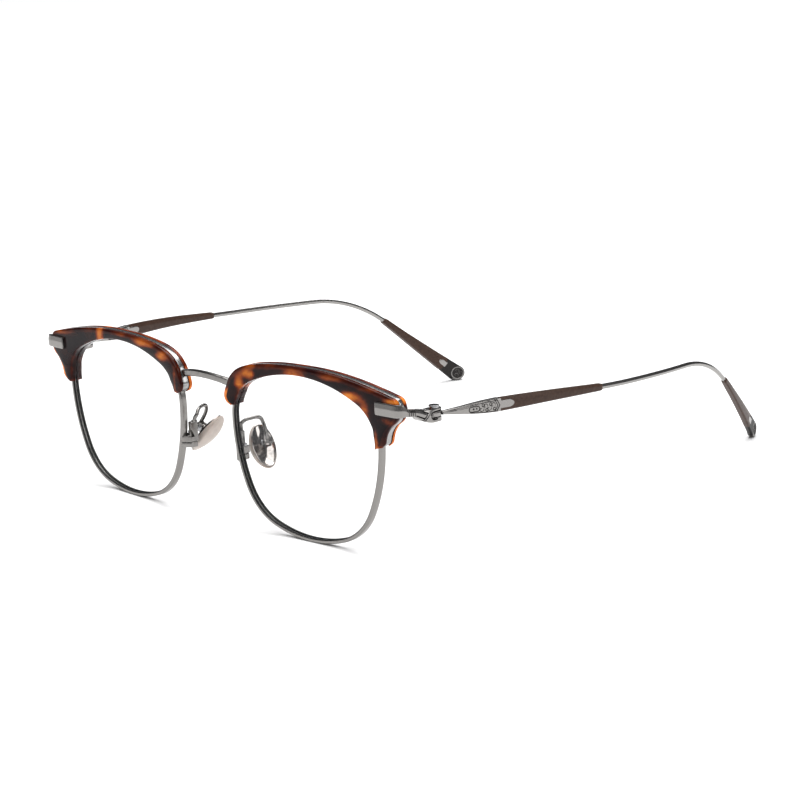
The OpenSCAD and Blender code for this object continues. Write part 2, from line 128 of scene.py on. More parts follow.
def catmull(points, steps):
    """Smooth curve through the points, with that many steps between each two."""
    p = np.asarray(points, float)
    n = len(p)
    out = []
    for i in range(n - 1):
        a, b, c, d = p[max(i - 1, 0)], p[i], p[i + 1], p[min(i + 2, n - 1)]
        for k in range(steps):
            t = k / steps
            out.append(
                0.5 * (2 * b + (c - a) * t + (2 * a - 5 * b + 4 * c - d) * t**2
                       + (3 * b - a - 3 * c + d) * t**3)
            )
    return np.array(out + [p[-1]])


def half_front(points, side):
    """Points given as outward, depth, up in one lens's own directions, placed in the frame."""
    p = np.asarray(points, float)
    u, v, w = p[..., 0], p[..., 1], p[..., 2]
    x = LENS_PITCH / 2 + u * math.cos(WRAP) - v * math.sin(WRAP)
    y = u * math.sin(WRAP) + v * math.cos(WRAP) + LENS_Y
    return np.stack([side * x, y, w + FLOOR_Z], -1)


def place(points, side):
    """Points given as x, y from the lens plane, z, placed in the frame."""
    p = np.asarray(points, float)
    return np.stack([side * p[..., 0], p[..., 1] + LENS_Y, p[..., 2]], -1)


# ---------------------------------------------------------------- meshes
class Shape:
    """Vertices in millimetres, faces, and a grain coordinate for each vertex."""

    def __init__(self):
        self.verts, self.faces, self.grain = [], [], []

    def add(self, points, faces, grain=None):
        """Adds points and the faces between them."""
        base = len(self.verts)
        points = np.asarray(points, float).reshape(-1, 3)
        self.verts.extend(points.tolist())
        if grain is None:
            grain = np.zeros((len(points), 3))
        self.grain.extend(np.asarray(grain, float).reshape(-1, 3).tolist())
        self.faces.extend([[base + i for i in f] for f in faces])

    def loft(self, rings, closed=False, caps=True):
        """Joins rings of equal size, each a closed loop of points."""
        rings = np.asarray(rings, float)
        n, k = rings.shape[:2]
        faces = []
        for i in range(n if closed else n - 1):
            a, b = i * k, ((i + 1) % n) * k
            for j in range(k):
                jj = (j + 1) % k
                faces.append([a + j, a + jj, b + jj, b + j])
        if caps and not closed:
            faces.append(list(range(k))[::-1])
            faces.append([(n - 1) * k + j for j in range(k)])
        middle = rings.mean(1)
        along = np.concatenate([[0], np.cumsum(np.linalg.norm(np.diff(middle, axis=0), axis=1))])
        edge = np.linalg.norm(np.diff(rings, axis=1), axis=2)
        across = np.concatenate([np.zeros((n, 1)), np.cumsum(edge, axis=1)], axis=1)
        grain = np.stack([np.repeat(along[:, None], k, 1), across, np.zeros((n, k))], -1)
        self.add(rings, faces, grain)

    def build(self, name, material, body, nodes=(), angle=32.0):
        """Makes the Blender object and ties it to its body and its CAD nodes."""
        mesh = bpy.data.meshes.new(name)
        mesh.from_pydata([[c * MM for c in v] for v in self.verts], [], self.faces)
        bm = bmesh.new()
        bm.from_mesh(mesh)
        bmesh.ops.recalc_face_normals(bm, faces=bm.faces)
        bm.to_mesh(mesh)
        bm.free()
        attribute = mesh.attributes.new("grain", "FLOAT_VECTOR", "POINT")
        attribute.data.foreach_set("vector", np.array(self.grain, np.float32).ravel())
        mesh.shade_smooth()
        mesh.set_sharp_from_angle(angle=math.radians(angle))
        obj = bpy.data.objects.new(name, mesh)
        bpy.context.scene.collection.objects.link(obj)
        mesh.materials.append(material)
        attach(obj, body)
        if nodes:
            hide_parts(*nodes)
        return obj


def rounded(polygon, radius, steps=3):
    """A closed 2D polygon with each corner replaced by an arc-like curve."""
    p = np.asarray(polygon, float)
    n = len(p)
    radii = np.full(n, radius) if np.isscalar(radius) else np.asarray(radius, float)
    out = []
    for i in range(n):
        a, b, c = p[i - 1], p[i], p[(i + 1) % n]
        reach = min(radii[i], 0.45 * np.linalg.norm(a - b), 0.45 * np.linalg.norm(c - b))
        p0, p1 = b + unit(a - b) * reach, b + unit(c - b) * reach
        for t in np.linspace(0, 1, steps + 1):
            out.append((1 - t) ** 2 * p0 + 2 * t * (1 - t) * b + t**2 * p1)
    return np.array(out)


def cut(obj, cutter, overlapping=False):
    """Takes cutter, a Shape, out of obj; overlapping is for an obj made of parts that cross."""
    mesh = bpy.data.meshes.new("cutter")
    mesh.from_pydata([[c * MM for c in v] for v in cutter.verts], [], cutter.faces)
    bm = bmesh.new()
    bm.from_mesh(mesh)
    bmesh.ops.recalc_face_normals(bm, faces=bm.faces)
    bm.to_mesh(mesh)
    bm.free()
    tool = bpy.data.objects.new("cutter", mesh)
    bpy.context.scene.collection.objects.link(tool)
    m = obj.modifiers.new("Cut", "BOOLEAN")
    m.operation = "DIFFERENCE"
    m.solver = "EXACT"
    m.use_self = overlapping
    m.object = tool
    bpy.context.view_layer.update()
    graph = bpy.context.evaluated_depsgraph_get()
    made = bpy.data.meshes.new_from_object(obj.evaluated_get(graph))
    obj.modifiers.remove(m)
    old = obj.data
    obj.data = made
    made.name = old.name
    bpy.data.objects.remove(tool)
    bpy.data.meshes.remove(old)
    made.set_sharp_from_angle(angle=math.radians(32))


# ---------------------------------------------------------------- materials
def material(name, color=(0.5, 0.5, 0.5), roughness=0.4, metallic=0.0, **sockets):
    """A new material with a Principled shader; returns it, its node tree and the shader."""
    made = bpy.data.materials.new(name)
    made.use_nodes = True
    tree = made.node_tree
    shader = tree.nodes["Principled BSDF"]
    shader.inputs["Base Color"].default_value = (*color, 1)
    shader.inputs["Roughness"].default_value = roughness
    shader.inputs["Metallic"].default_value = metallic
    for key, value in sockets.items():
        shader.inputs[key.replace("_", " ")].default_value = value
    return made, tree, shader


def add(tree, kind, inputs=(), **settings):
    """Adds a node, sets its settings, and links or sets the inputs given as (socket, value or output)."""
    made = tree.nodes.new(kind)
    for key, value in settings.items():
        setattr(made, key, value)
    for socket, value in inputs:
        if isinstance(value, bpy.types.NodeSocket):
            tree.links.new(value, made.inputs[socket])
        else:
            made.inputs[socket].default_value = value
    return made


def ramp(tree, factor, stops):
    """A colour ramp with stops given as (position, colour)."""
    made = add(tree, "ShaderNodeValToRGB", [("Fac", factor)])
    elements = made.color_ramp.elements
    while len(elements) < len(stops):
        elements.new(0.5)
    for element, (position, color) in zip(elements, stops):
        element.position = position
        element.color = (*color, 1)
    return made.outputs["Color"]


def noise(tree, vector, scale, detail=4.0, roughness=0.5, distortion=0.0):
    """The value of a noise texture."""
    return add(
        tree, "ShaderNodeTexNoise",
        [("Vector", vector), ("Scale", scale), ("Detail", detail), ("Roughness", roughness),
         ("Distortion", distortion)],
    ).outputs["Fac"]


def mapped(tree, vector, scale):
    """The vector scaled by its own factor in each direction."""
    return add(tree, "ShaderNodeMapping", [("Vector", vector), ("Scale", scale)]).outputs["Vector"]


def math_node(tree, operation, a, b=0.5):
    """One step of arithmetic on shader values."""
    return add(tree, "ShaderNodeMath", [(0, a), (1, b)], operation=operation).outputs[0]


def bump(tree, shader, height, strength, distance):
    """Bumps the surface of the shader by a height."""
    made = add(tree, "ShaderNodeBump", [("Height", height), ("Strength", strength), ("Distance", distance)])
    tree.links.new(made.outputs["Normal"], shader.inputs["Normal"])


def acetate_material():
    """Tortoise acetate: nearly black brown, red brown and amber, with painted glow in the thin edges,
    standing in for light let through.
    """
    made, tree, shader = material("tortoise_acetate", roughness=0.1, IOR=1.45)
    shader.inputs["Specular IOR Level"].default_value = 0.13
    place_at = add(tree, "ShaderNodeTexCoord").outputs["Object"]
    cloud = noise(tree, mapped(tree, place_at, (80, 80, 150)), 1.0, 3.0, 0.55, 0.9)
    patch = add(tree, "ShaderNodeAttribute", attribute_name="amber").outputs["Fac"]
    # painted_glow: how far the colour is pushed to the bright edge colour, a painted stand-in for light
    # through thin acetate.
    painted_glow = add(tree, "ShaderNodeAttribute", attribute_name="painted_glow").outputs["Fac"]
    fine = noise(tree, mapped(tree, place_at, (420, 420, 700)), 1.0, 2.0, 0.5, 0.4)
    factor = math_node(tree, "MULTIPLY_ADD", cloud, 0.62)
    tree.links.new(patch, factor.node.inputs[2])
    fine_part = math_node(tree, "MULTIPLY_ADD", fine, 0.14)
    tree.links.new(factor, fine_part.node.inputs[2])
    body = ramp(tree, fine_part, [
        (0.36, (0.007, 0.003, 0.004)), (0.48, (0.022, 0.006, 0.005)), (0.56, (0.080, 0.014, 0.006)),
        (0.68, (0.27, 0.052, 0.008)), (0.84, (0.70, 0.21, 0.026)),
    ])
    # Painted glow colour: brighter orange standing in for light shining through the thin edges.
    edge = ramp(tree, fine_part, [
        (0.34, (0.10, 0.010, 0.004)), (0.50, (0.36, 0.055, 0.009)), (0.72, (0.95, 0.27, 0.04)),
    ])
    mixed = add(tree, "ShaderNodeMix", [(0, painted_glow), (6, body), (7, edge)], data_type="RGBA")
    color = mixed.outputs[2]
    tree.links.new(color, shader.inputs["Base Color"])
    shader.inputs["Subsurface Weight"].default_value = 0.15
    shader.inputs["Subsurface Radius"].default_value = (1.0, 0.3, 0.1)
    shader.inputs["Subsurface Scale"].default_value = 0.0008
    bump(tree, shader, noise(tree, place_at, 900.0, 2.0), 0.03, 0.0004)
    return made


def metal_material(name, color, roughness, brush=0.2, tarnish=0.25):
    """Satin metal with fine brushing along the grain and a faint cloudy darkening."""
    made, tree, shader = material(name, color, roughness, 1.0)
    grain = add(tree, "ShaderNodeAttribute", attribute_name="grain").outputs["Vector"]
    streak = noise(tree, mapped(tree, grain, (0.55, 26, 1)), 1.0, 3.0, 0.6)
    place_at = add(tree, "ShaderNodeTexCoord").outputs["Object"]
    cloud = noise(tree, place_at, 320.0, 4.0, 0.6)
    dark = tuple(c * (1 - tarnish) for c in color)
    tree.links.new(ramp(tree, cloud, [(0.35, dark), (0.65, color)]), shader.inputs["Base Color"])
    spread = ramp(tree, streak, [(0.3, (max(roughness - 0.06, 0.02),) * 3), (0.7, (roughness + 0.08,) * 3)])
    tree.links.new(spread, shader.inputs["Roughness"])
    bump(tree, shader, streak, brush, 0.00003)
    return made


def relief_material(name, color, low_color):
    """Antique metal: what lies low in the relief is dark; the same attribute also carries painted shade on
    the eyewire's inner face and groove.
    """
    made, tree, shader = material(name, color, 0.3, 1.0)
    # depth: how low the engraving lies, and on the eyewire the painted shade.
    depth = add(tree, "ShaderNodeAttribute", attribute_name="relief_and_shade").outputs["Fac"]
    place_at = add(tree, "ShaderNodeTexCoord").outputs["Object"]
    grit = noise(tree, place_at, 2600.0, 4.0, 0.6)
    shade = math_node(tree, "MULTIPLY_ADD", grit, 0.25)
    tree.links.new(depth, shade.node.inputs[2])
    tree.links.new(ramp(tree, shade, [(0.2, color), (0.62, low_color)]), shader.inputs["Base Color"])
    tree.links.new(ramp(tree, shade, [(0.2, (0.26,) * 3), (0.7, (0.5,) * 3)]), shader.inputs["Roughness"])
    bump(tree, shader, grit, 0.12, 0.00003)
    return made


def enamel_material():
    """Matte dark brown enamel with a fine mottle."""
    made, tree, shader = material("brown_enamel", (0.05, 0.03, 0.025), 0.4, 0.0)
    shader.inputs["Specular IOR Level"].default_value = 0.22
    place_at = add(tree, "ShaderNodeTexCoord").outputs["Object"]
    mottle = noise(tree, place_at, 1500.0, 4.0, 0.65)
    tree.links.new(
        ramp(tree, mottle, [(0.3, (0.034, 0.017, 0.011)), (0.7, (0.066, 0.036, 0.025))]),
        shader.inputs["Base Color"],
    )
    bump(tree, shader, mottle, 0.15, 0.00004)
    return made


def pad_material():
    """Soft satin pad, a warm grey beige."""
    made, tree, shader = material("pad_soft", (0.56, 0.47, 0.42), 0.45, 0.0, IOR=1.42)
    shader.inputs["Subsurface Weight"].default_value = 0.25
    shader.inputs["Subsurface Radius"].default_value = (1.0, 0.7, 0.55)
    shader.inputs["Subsurface Scale"].default_value = 0.0012
    place_at = add(tree, "ShaderNodeTexCoord").outputs["Object"]
    mottle = noise(tree, place_at, 700.0, 3.0, 0.5)
    tree.links.new(
        ramp(tree, mottle, [(0.3, (0.42, 0.36, 0.32)), (0.7, (0.50, 0.435, 0.39))]),
        shader.inputs["Base Color"],
    )
    bump(tree, shader, noise(tree, place_at, 3200.0, 2.0), 0.1, 0.00003)
    return made


def lens_material():
    """Clear coated lens: it shows at its edge and at a glancing view."""
    made, tree, shader = material("lens_clear", (0.93, 0.97, 0.98), 0.02, 0.0, IOR=1.5)
    facing = add(tree, "ShaderNodeLayerWeight", [("Blend", 0.25)]).outputs["Facing"]
    place_at = add(tree, "ShaderNodeTexCoord").outputs["Object"]
    film = noise(tree, place_at, 24.0, 2.0, 0.5)
    tree.links.new(
        ramp(tree, film, [(0.4, (0.93, 0.97, 0.98)), (0.6, (0.96, 0.97, 0.99))]),
        shader.inputs["Base Color"],
    )
    tree.links.new(ramp(tree, facing, [(0.0, (0.012,) * 3), (0.75, (0.03,) * 3), (1.0, (0.55,) * 3)]),
                   shader.inputs["Alpha"])
    return made


ACETATE = acetate_material()
GUNMETAL = metal_material("gunmetal", (0.25, 0.24, 0.23), 0.25)
POLISHED = metal_material("polished_plate", (0.36, 0.36, 0.36), 0.24, 0.08, 0.15)
PAD_METAL = metal_material("pad_metal", (0.46, 0.43, 0.41), 0.10, 0.05, 0.45)
SCREW_METAL = metal_material("screw_metal", (0.42, 0.42, 0.43), 0.2, 0.1, 0.2)
RELIEF = relief_material("relief_metal", (0.28, 0.27, 0.26), (0.035, 0.033, 0.032))
LUG_METAL = relief_material("lug_metal", (0.26, 0.25, 0.24), (0.015, 0.015, 0.015))
WIRE_METAL = relief_material("wire_metal", (0.25, 0.24, 0.23), (0.022, 0.022, 0.022))
ENAMEL = enamel_material()
PAD_SOFT = pad_material()
LENS = lens_material()


# ---------------------------------------------------------------- brow
# Outward, up and the matching angle on the lens outline, from the nasal end over the top.
BROW_TOP = [
    (-25.0, 10.15, 253.2), (-26.5, 10.9, 251), (-27.2, 12.3, 247.5), (-26.9, 13.9, 242.5),
    (-26.1, 15.5, 236.5), (-24.9, 17.6, 228), (-22, 20.0, 214), (-17, 21.6, 203.5), (-9, 22.6, 192),
    (0, 22.9, 180), (9, 22.7, 168), (18, 21.7, 156), (26, 20.2, 143), (29.6, 19.4, 137.5), (31.4, 18.9, 134),
]
BROW_SIDE = [
    (32.3, 18.0, 131), (32.6, 16.6, 125.5), (32.4, 14.6, 117), (31.6, 13.2, 111), (30, 11.9, 105.5),
    (28.8, 10.3, 100), (28.2, 8.8, 95.5), (27.8, 7.4, 91.5), (26.8, 6.45, 89),
]
SOCKET_LENGTH = 5.0
NASAL_END_W = 10.4
TEMPORAL_END_W = 6.1
BROW_INSET = 0.004  # keeps the brow just inside the CAD box
END_WALL = 1.15  # acetate left under the channel at each end


def brow_stations(steps=9):
    """Outer edge points with their normals, and the matching angle on the lens outline."""
    rows = catmull(BROW_TOP + BROW_SIDE, steps)
    along = unit(np.gradient(rows[:, :2], axis=0))
    normal = np.stack([-along[:, 1], along[:, 0]], -1)
    return rows[:, :2] - BROW_INSET * normal, normal, rows[:, 2]


def end_share(outer):
    """1 where the walls straddle the wire near each end of the brow, 0 in between."""
    near = np.where(outer[:, 0] < 0, outer[:, 1] - NASAL_END_W, outer[:, 1] - TEMPORAL_END_W)
    return np.clip((SOCKET_LENGTH + 1.5 - near) / 3.0, 0, 1)


def wire_cover(outer):
    """1 where the brow closes over the wire's inner face near its ends, 0 in between."""
    near = np.where(outer[:, 0] < 0, outer[:, 1] - NASAL_END_W, outer[:, 1] - TEMPORAL_END_W)
    return np.clip((SOCKET_LENGTH + 2.5 - near) / 2.0, 0, 1)


def quarter(steps=4):
    """Angles over a quarter turn."""
    return np.linspace(0, math.pi / 2, steps)


def brow_rings():
    """Sections of the brow from its nasal end on, and how much painted glow each point gets, standing in for
    the light that thin acetate lets through.
    """
    outer, normal, angles = brow_stations()
    share, cover = end_share(outer), wire_cover(outer)
    rings, painted_glow = [], []
    for i, angle in enumerate(angles):
        inner = outline(angle, -WIRE_T / 2 - 0.32 * cover[i])
        away = unit(outline(angle, 1.0) - outline(angle, 0.0))
        width = float(np.linalg.norm(outer[i] - inner))
        r = min(0.38, 0.3 * width)
        lip = 0.1
        low = CHANNEL[0] * (1 - share[i]) - 0.95 * share[i]
        high = CHANNEL[1] * (1 - share[i]) + 0.95 * share[i]
        depth = CHANNEL_DEPTH * (1 - share[i]) + (width - END_WALL) * share[i]
        depth = float(np.clip(depth, 0.12, max(width - 0.6, 0.15)))
        ring, lit = [], []

        # Each point also gets an amount of painted glow, light, standing in for light through thin acetate;
        # -1 marks the front face's outer rim and outer edge, which are painted glowing only on the thin
        # edges.
        def from_inner(d, v, light=0.0):
            ring.append([*(inner + away * d), v])
            lit.append(light)

        def from_outer(d, v, light=0.0):
            ring.append([*(outer[i] - normal[i] * d), v])
            lit.append(light)

        for q in quarter():
            from_inner(r * (1 - math.cos(q)), BROW_FRONT + r * (1 - math.sin(q)), 0.22 - 0.12 * q)
        a, b = inner + away * r, outer[i] - normal[i] * r
        rim = min(0.9, 0.3 * width) / max(width - 2 * r, 0.1)
        for s in (*np.linspace(0, 1 - rim - 0.03, 8)[1:], 1 - rim + 0.03, 1 - rim / 2):
            dome = 0.22 * 4 * s * (1 - s) * min(width / 6, 1)
            ring.append([*(a * (1 - s) + b * s), BROW_FRONT - dome])
            lit.append(-1.0 if s > 1 - rim else 0.0)
        for q in quarter()[::-1]:
            from_outer(r * (1 - math.cos(q)), BROW_FRONT + r * (1 - math.sin(q)), -1.0)
        for q in quarter(3):
            from_outer(lip * (1 - math.cos(q)), low - lip * (1 - math.sin(q)), 0.45)
        from_outer(depth, low, 0.2)
        from_outer(depth, high, 0.2)
        for q in quarter(3)[::-1]:
            from_outer(lip * (1 - math.cos(q)), high + lip * (1 - math.sin(q)), 0.9)
        for q in quarter():
            from_outer(r * (1 - math.cos(q)), BROW_BACK - r * (1 - math.sin(q)), 1.0)
        a, b = outer[i] - normal[i] * r, inner + away * r
        for s in np.linspace(0, 1, 7)[1:-1]:
            ring.append([*(a * (1 - s) + b * s), BROW_BACK])
            lit.append(0.25)
        for q in quarter()[::-1]:
            from_inner(r * (1 - math.cos(q)), BROW_BACK - r * (1 - math.sin(q)), 0.2)
        for d, v in ((0, 0.5), (0, GROOVE_HALF), (0.3, 0.2), (0.3, -0.2), (0, -GROOVE_HALF), (0, -0.9)):
            from_inner(d, v, 0.04)
        rings.append(ring)
        painted_glow.append(lit)
    return np.array(rings), np.array(painted_glow)


# Amber patches on the brow: outward, up, half length, half height, strength; left and right differ.
AMBER = {
    "left": [
        (-21.2, 16.7, 1.5, 1.7, 0.36), (-18.0, 19.2, 2.2, 1.2, 0.36), (-17.0, 21.4, 3.0, 0.5, 0.16),
        (-1.5, 21.2, 3.2, 1.3, 0.36), (11, 21.5, 3.5, 0.7, 0.18), (17.2, 17.9, 3.0, 1.2, 0.38),
        (21.8, 14.8, 1.5, 2.6, 0.32), (31.0, 18.2, 2.2, 0.8, 0.44), (29.6, 13.4, 2.0, 1.0, 0.26),
        (25.3, 8.5, 0.6, 3.0, 0.24), (-8.0, 22.2, 3.0, 0.4, 0.10), (23.5, 20.4, 3.5, 0.5, 0.12),
    ],
    "right": [
        (8.6, 21.2, 1.5, 2.6, 0.38), (28.0, 19.2, 3.6, 0.8, 0.26), (-10.5, 21.4, 3.0, 0.9, 0.38),
        (-19.2, 19.2, 2.4, 1.1, 0.36), (-24.6, 12.5, 0.6, 3.2, 0.22), (-2.0, 22.3, 4.0, 0.5, 0.14),
        (22.0, 19.8, 2.6, 0.8, 0.12), (28.4, 7.6, 1.2, 1.0, 0.30), (-15.0, 21.2, 1.5, 0.8, 0.20),
    ],
}
PATCH_SIZE, PATCH_GAIN = 1.2, 1.15
PATCH_CORE = 1.4  # above 1 the middle of a patch is flatter
# Thin edges painted with glow, standing in for light let through: limits of outward, up and depth.
PAINTED_GLOW_EDGES = {
    "left": [(-30, -22.5, 9, 15.2, -9, 1), (24, 34, 5, 15.0, 1, 9)],
    "right": [(26, 34, 5, 15.0, -9, 9), (-30, -22.5, 9, 17.5, 1, 9)],
}


def patch_strength(points, patches):
    """How amber the brow is at the points: the sum of soft oval patches."""
    total = np.full(points.shape[:-1], 0.0)
    for u, w, du, dw, strength in patches:
        du, dw = PATCH_SIZE * du, PATCH_SIZE * dw
        far = ((points[..., 0] - u) / du) ** 2 + ((points[..., 1] - w) / dw) ** 2
        total = total + PATCH_GAIN * strength * np.exp(-(far**PATCH_CORE))
    return total


def face_attribute(obj, name, values):
    """Stores one value for each vertex of obj."""
    attribute = obj.data.attributes.new(name, "FLOAT", "POINT")
    attribute.data.foreach_set("value", np.asarray(values, np.float32).ravel())


def socket_cutter(start, stop, side):
    """The room for one end of the wire, from one angle on the outline to another."""
    shape = Shape()
    rings = []
    for a in np.linspace(start, stop, 14):
        inner, out = outline(a, -WIRE_T / 2 - 0.14), outline(a, WIRE_T / 2 + 0.16)
        rings.append([[*inner, 1.04], [*inner, -1.04], [*out, -1.04], [*out, 1.04]])
    rings = np.array(rings)[..., [0, 2, 1]]
    shape.loft(half_front(rings, side))
    return shape


def make_brow(name, side):
    """The acetate brow, with sockets cut for the ends of the wire."""
    rings, painted_glow = brow_rings()
    flat = rings[..., :2]
    amber = patch_strength(flat, AMBER[name])
    shape = Shape()
    shape.loft(half_front(rings[..., [0, 2, 1]], side))
    made = shape.build(f"acetate_brow_{name}", ACETATE, "front", [f"brow_{name}"])
    # Painted glow: both ends of the brow are painted brighter, standing in for light through the thin ends.
    ends = np.clip(1.2 - np.arange(len(rings)) / 5.0, 0, 1) + np.clip(
        1.2 - np.arange(len(rings))[::-1] / 5.0, 0, 1
    )
    # near: where the thin edges painted with glow are, fading out towards their upper limit.
    near = np.zeros_like(painted_glow)
    for u0, u1, w0, w1, v0, v1 in PAINTED_GLOW_EDGES[name]:
        inside = (flat[..., 0] > u0) * (flat[..., 0] < u1) * (flat[..., 1] > w0)
        inside = inside * (rings[..., 2] > v0) * (rings[..., 2] < v1)
        near = np.maximum(near, np.clip((w1 - flat[..., 1]) / 1.5, 0, 1) * inside)
    edge = np.where(painted_glow < 0, 1.0, np.clip(painted_glow, 0, 1))
    painted_glow = np.where(painted_glow < 0, 0.12 + 0.85 * near, np.where(painted_glow > 0.3, 0.55 * painted_glow + 0.4 * near, painted_glow))
    face_attribute(made, "painted_glow", np.clip(painted_glow + 0.35 * ends[:, None], 0, 1))
    # The amber patches are the tortoise pattern; on the glowing thin edges some painted glow is added to
    # them.
    face_attribute(made, "amber", amber + 0.24 * near * (edge > 0.3))
    for start, stop in ((262.0, 249.5), (80.0, 92.0)):
        cut(made, socket_cutter(start, stop, side))
    return made


# The strip: half width along the brow and at its ends, depth below the edge and how much more of it
# at the ends, and its shift from the middle.
STRIP_HALF = (0.62, 0.88)
STRIP_TOP, STRIP_SINK = 0.07, 0.10
STRIP_SHIFT = 0.15
STRIP_ROUND = [0.12, 0.12, 0.02, 0.02]


def make_plate(name, side):
    """The metal strip in the channel of the brow's outer edge."""
    outer, normal, angles = brow_stations()
    share = end_share(outer)
    rings = []
    for i, angle in enumerate(angles):
        inner = outline(angle, -WIRE_T / 2)
        width = float(np.linalg.norm(outer[i] - inner))
        depth = CHANNEL_DEPTH * (1 - share[i]) + (width - END_WALL) * share[i]
        depth = float(np.clip(depth, 0.42, max(width - 0.6, 0.45)))
        half = STRIP_HALF[0] * (1 - share[i]) + STRIP_HALF[1] * share[i]
        middle = STRIP_SHIFT * (1 - share[i])
        top = STRIP_TOP + STRIP_SINK * share[i]
        corners = [(top, -half), (top, half), (depth, half), (depth, -half)]
        section = rounded(corners, STRIP_ROUND)
        rings.append([[*(outer[i] - normal[i] * d), v + middle] for d, v in section])
    rings = np.array(rings)[2:-2]
    shape = Shape()
    shape.loft(half_front(rings[..., [0, 2, 1]], side))
    return shape.build(f"brow_strip_{name}", POLISHED, "front", [f"brow_plate_{name}"])


# ---------------------------------------------------------------- eyewire and lens
WIRE_SECTION = rounded(
    [(-0.55, -0.74), (-0.3, -0.9), (0.3, -0.9), (0.545, -0.62), (0.545, 0.9), (-0.55, 0.9), (-0.55, 0.33),
     (-0.12, 0.2), (-0.12, -0.2), (-0.55, -0.33)],
    [0.12, 0.1, 0.12, 0.12, 0.2, 0.16, 0.04, 0.04, 0.04, 0.04],
)
WIRE_FROM, WIRE_SPLIT, WIRE_TO = 232.0, 283.9, 468.0
SPLIT_HALF = 0.05


def make_eyewire(name, side):
    """The grooved wire under the lens, split at the rim lock."""
    shape = Shape()
    for start, stop in ((WIRE_FROM, WIRE_SPLIT - SPLIT_HALF), (WIRE_SPLIT + SPLIT_HALF, WIRE_TO)):
        rings = []
        for a in arc_angles(start, stop, 0.45):
            base = outline(a)
            away = outline(a, 1.0) - base
            rings.append([[*(base + away * d), v] for d, v in WIRE_SECTION])
        shape.loft(half_front(np.array(rings)[..., [0, 2, 1]], side))
    made = shape.build(f"eyewire_{name}_rim", WIRE_METAL, "front", [f"eyewire_{name}"])
    # Painted shade: the inner face toward the lens is darkened strongly and the groove a little, through the
    # same attribute as the engraving.
    low = 0.75 * (WIRE_SECTION[:, 0] < -0.36) + 0.18 * (np.abs(WIRE_SECTION[:, 0] + 0.12) < 0.14)
    face_attribute(made, "relief_and_shade", np.tile(low, len(shape.verts) // len(low)))
    return made


LENS_R = 160.0
LENS_CENTRE_V = 157.5
LENS_T = 1.6


def make_lens(name, side):
    """Two curved faces from the middle out to a bevelled edge that sits in the groove."""
    angles = arc_angles(0.0, 360.0, 0.6)[:-1]
    edge = np.array([outline(a, -WIRE_T / 2 - 0.06) for a in angles])
    tongue = np.array([outline(a, GROOVE_DEPTH - WIRE_T / 2 - 0.14) for a in angles])
    shares = np.concatenate([np.linspace(0.04, 0.9, 14), [0.95, 0.98, 1.0]])
    rings = []
    for radius in (LENS_R, LENS_R - LENS_T):
        face = []
        for s in shares:
            flat = edge * s
            v = LENS_CENTRE_V - np.sqrt(radius**2 - (flat**2).sum(1))
            face.append(np.column_stack([flat[:, 0], v, flat[:, 1]]))
        rings.append(face)
    front, back = rings
    rim = [np.column_stack([tongue[:, 0], np.full(len(angles), v), tongue[:, 1]]) for v in (-0.24, 0.24)]
    front_lip = front[-1].copy()
    back_lip = back[-1].copy()
    front_lip[:, 1] = np.minimum(front_lip[:, 1], -0.28)
    back_lip[:, 1] = np.maximum(back_lip[:, 1], 0.28)
    loops = front[:-1] + [front_lip] + rim + [back_lip] + back[:-1][::-1]
    shape = Shape()
    shape.loft(half_front(np.array(loops), side))
    return shape.build(f"clear_lens_{name}", LENS, "front", [f"lens_{name}"], 40)


# ---------------------------------------------------------------- bridge
BRIDGE_END = np.array([9.65, -1.4, 36.9])
BRIDGE_MID = np.array([0.0, -3.0, 38.3])
BRIDGE_TALL = 1.22  # the height of the bar against the CAD


def make_bridge():
    """The bar between the brows; it rises and comes forward to its middle."""
    rise = BRIDGE_MID[1:] - BRIDGE_END[1:]
    sag = float(np.linalg.norm(rise))
    radius = (BRIDGE_END[0] ** 2 + sag**2) / (2 * sag)
    up = np.array([0, *(rise / sag)])
    front = np.cross(up, [1.0, 0, 0])
    middle = np.array([0, *BRIDGE_MID[1:]]) - up * radius
    reach = math.asin(BRIDGE_END[0] / radius)
    section = rounded(
        [(-0.8, -0.3), (-0.5, -0.6), (0.5, -0.6), (0.8, -0.3),
         (0.8, 0.3), (0.5, 0.6), (-0.5, 0.6), (-0.8, 0.3)],
        0.08, 2,
    )
    rings = []
    for a in np.linspace(-reach, reach, 60):
        x = abs(radius * math.sin(a))
        waist = float(np.clip((7.0 - x) / 0.15, 0, 1))
        end = float(np.clip((x - 8.6) / 0.3, 0, 1))
        collar = 1 - 0.07 * waist - 0.05 * end
        away = np.array([math.sin(a), 0, 0]) + up * math.cos(a)
        high = away * up[2] + front * front[2]
        deep = away * up[1] + front * front[1]
        at = middle + away * radius
        rings.append([at + (high * h * BRIDGE_TALL + deep * d) * collar for h, d in section])
    shape = Shape()
    shape.loft(place(np.array(rings), 1))
    return shape.build("bridge_bar", GUNMETAL, "front", ["bridge"], 24)


# ---------------------------------------------------------------- turned pieces and screws
def axes(origin, along, across=None):
    """Maps local x, y, z to a place, with z along the given direction."""
    z = unit(along)
    x = np.array([1.0, 0, 0]) if across is None else np.asarray(across, float)
    x = unit(x - (x @ z) * z)
    return np.array(origin, float), np.stack([x, np.cross(z, x), z])


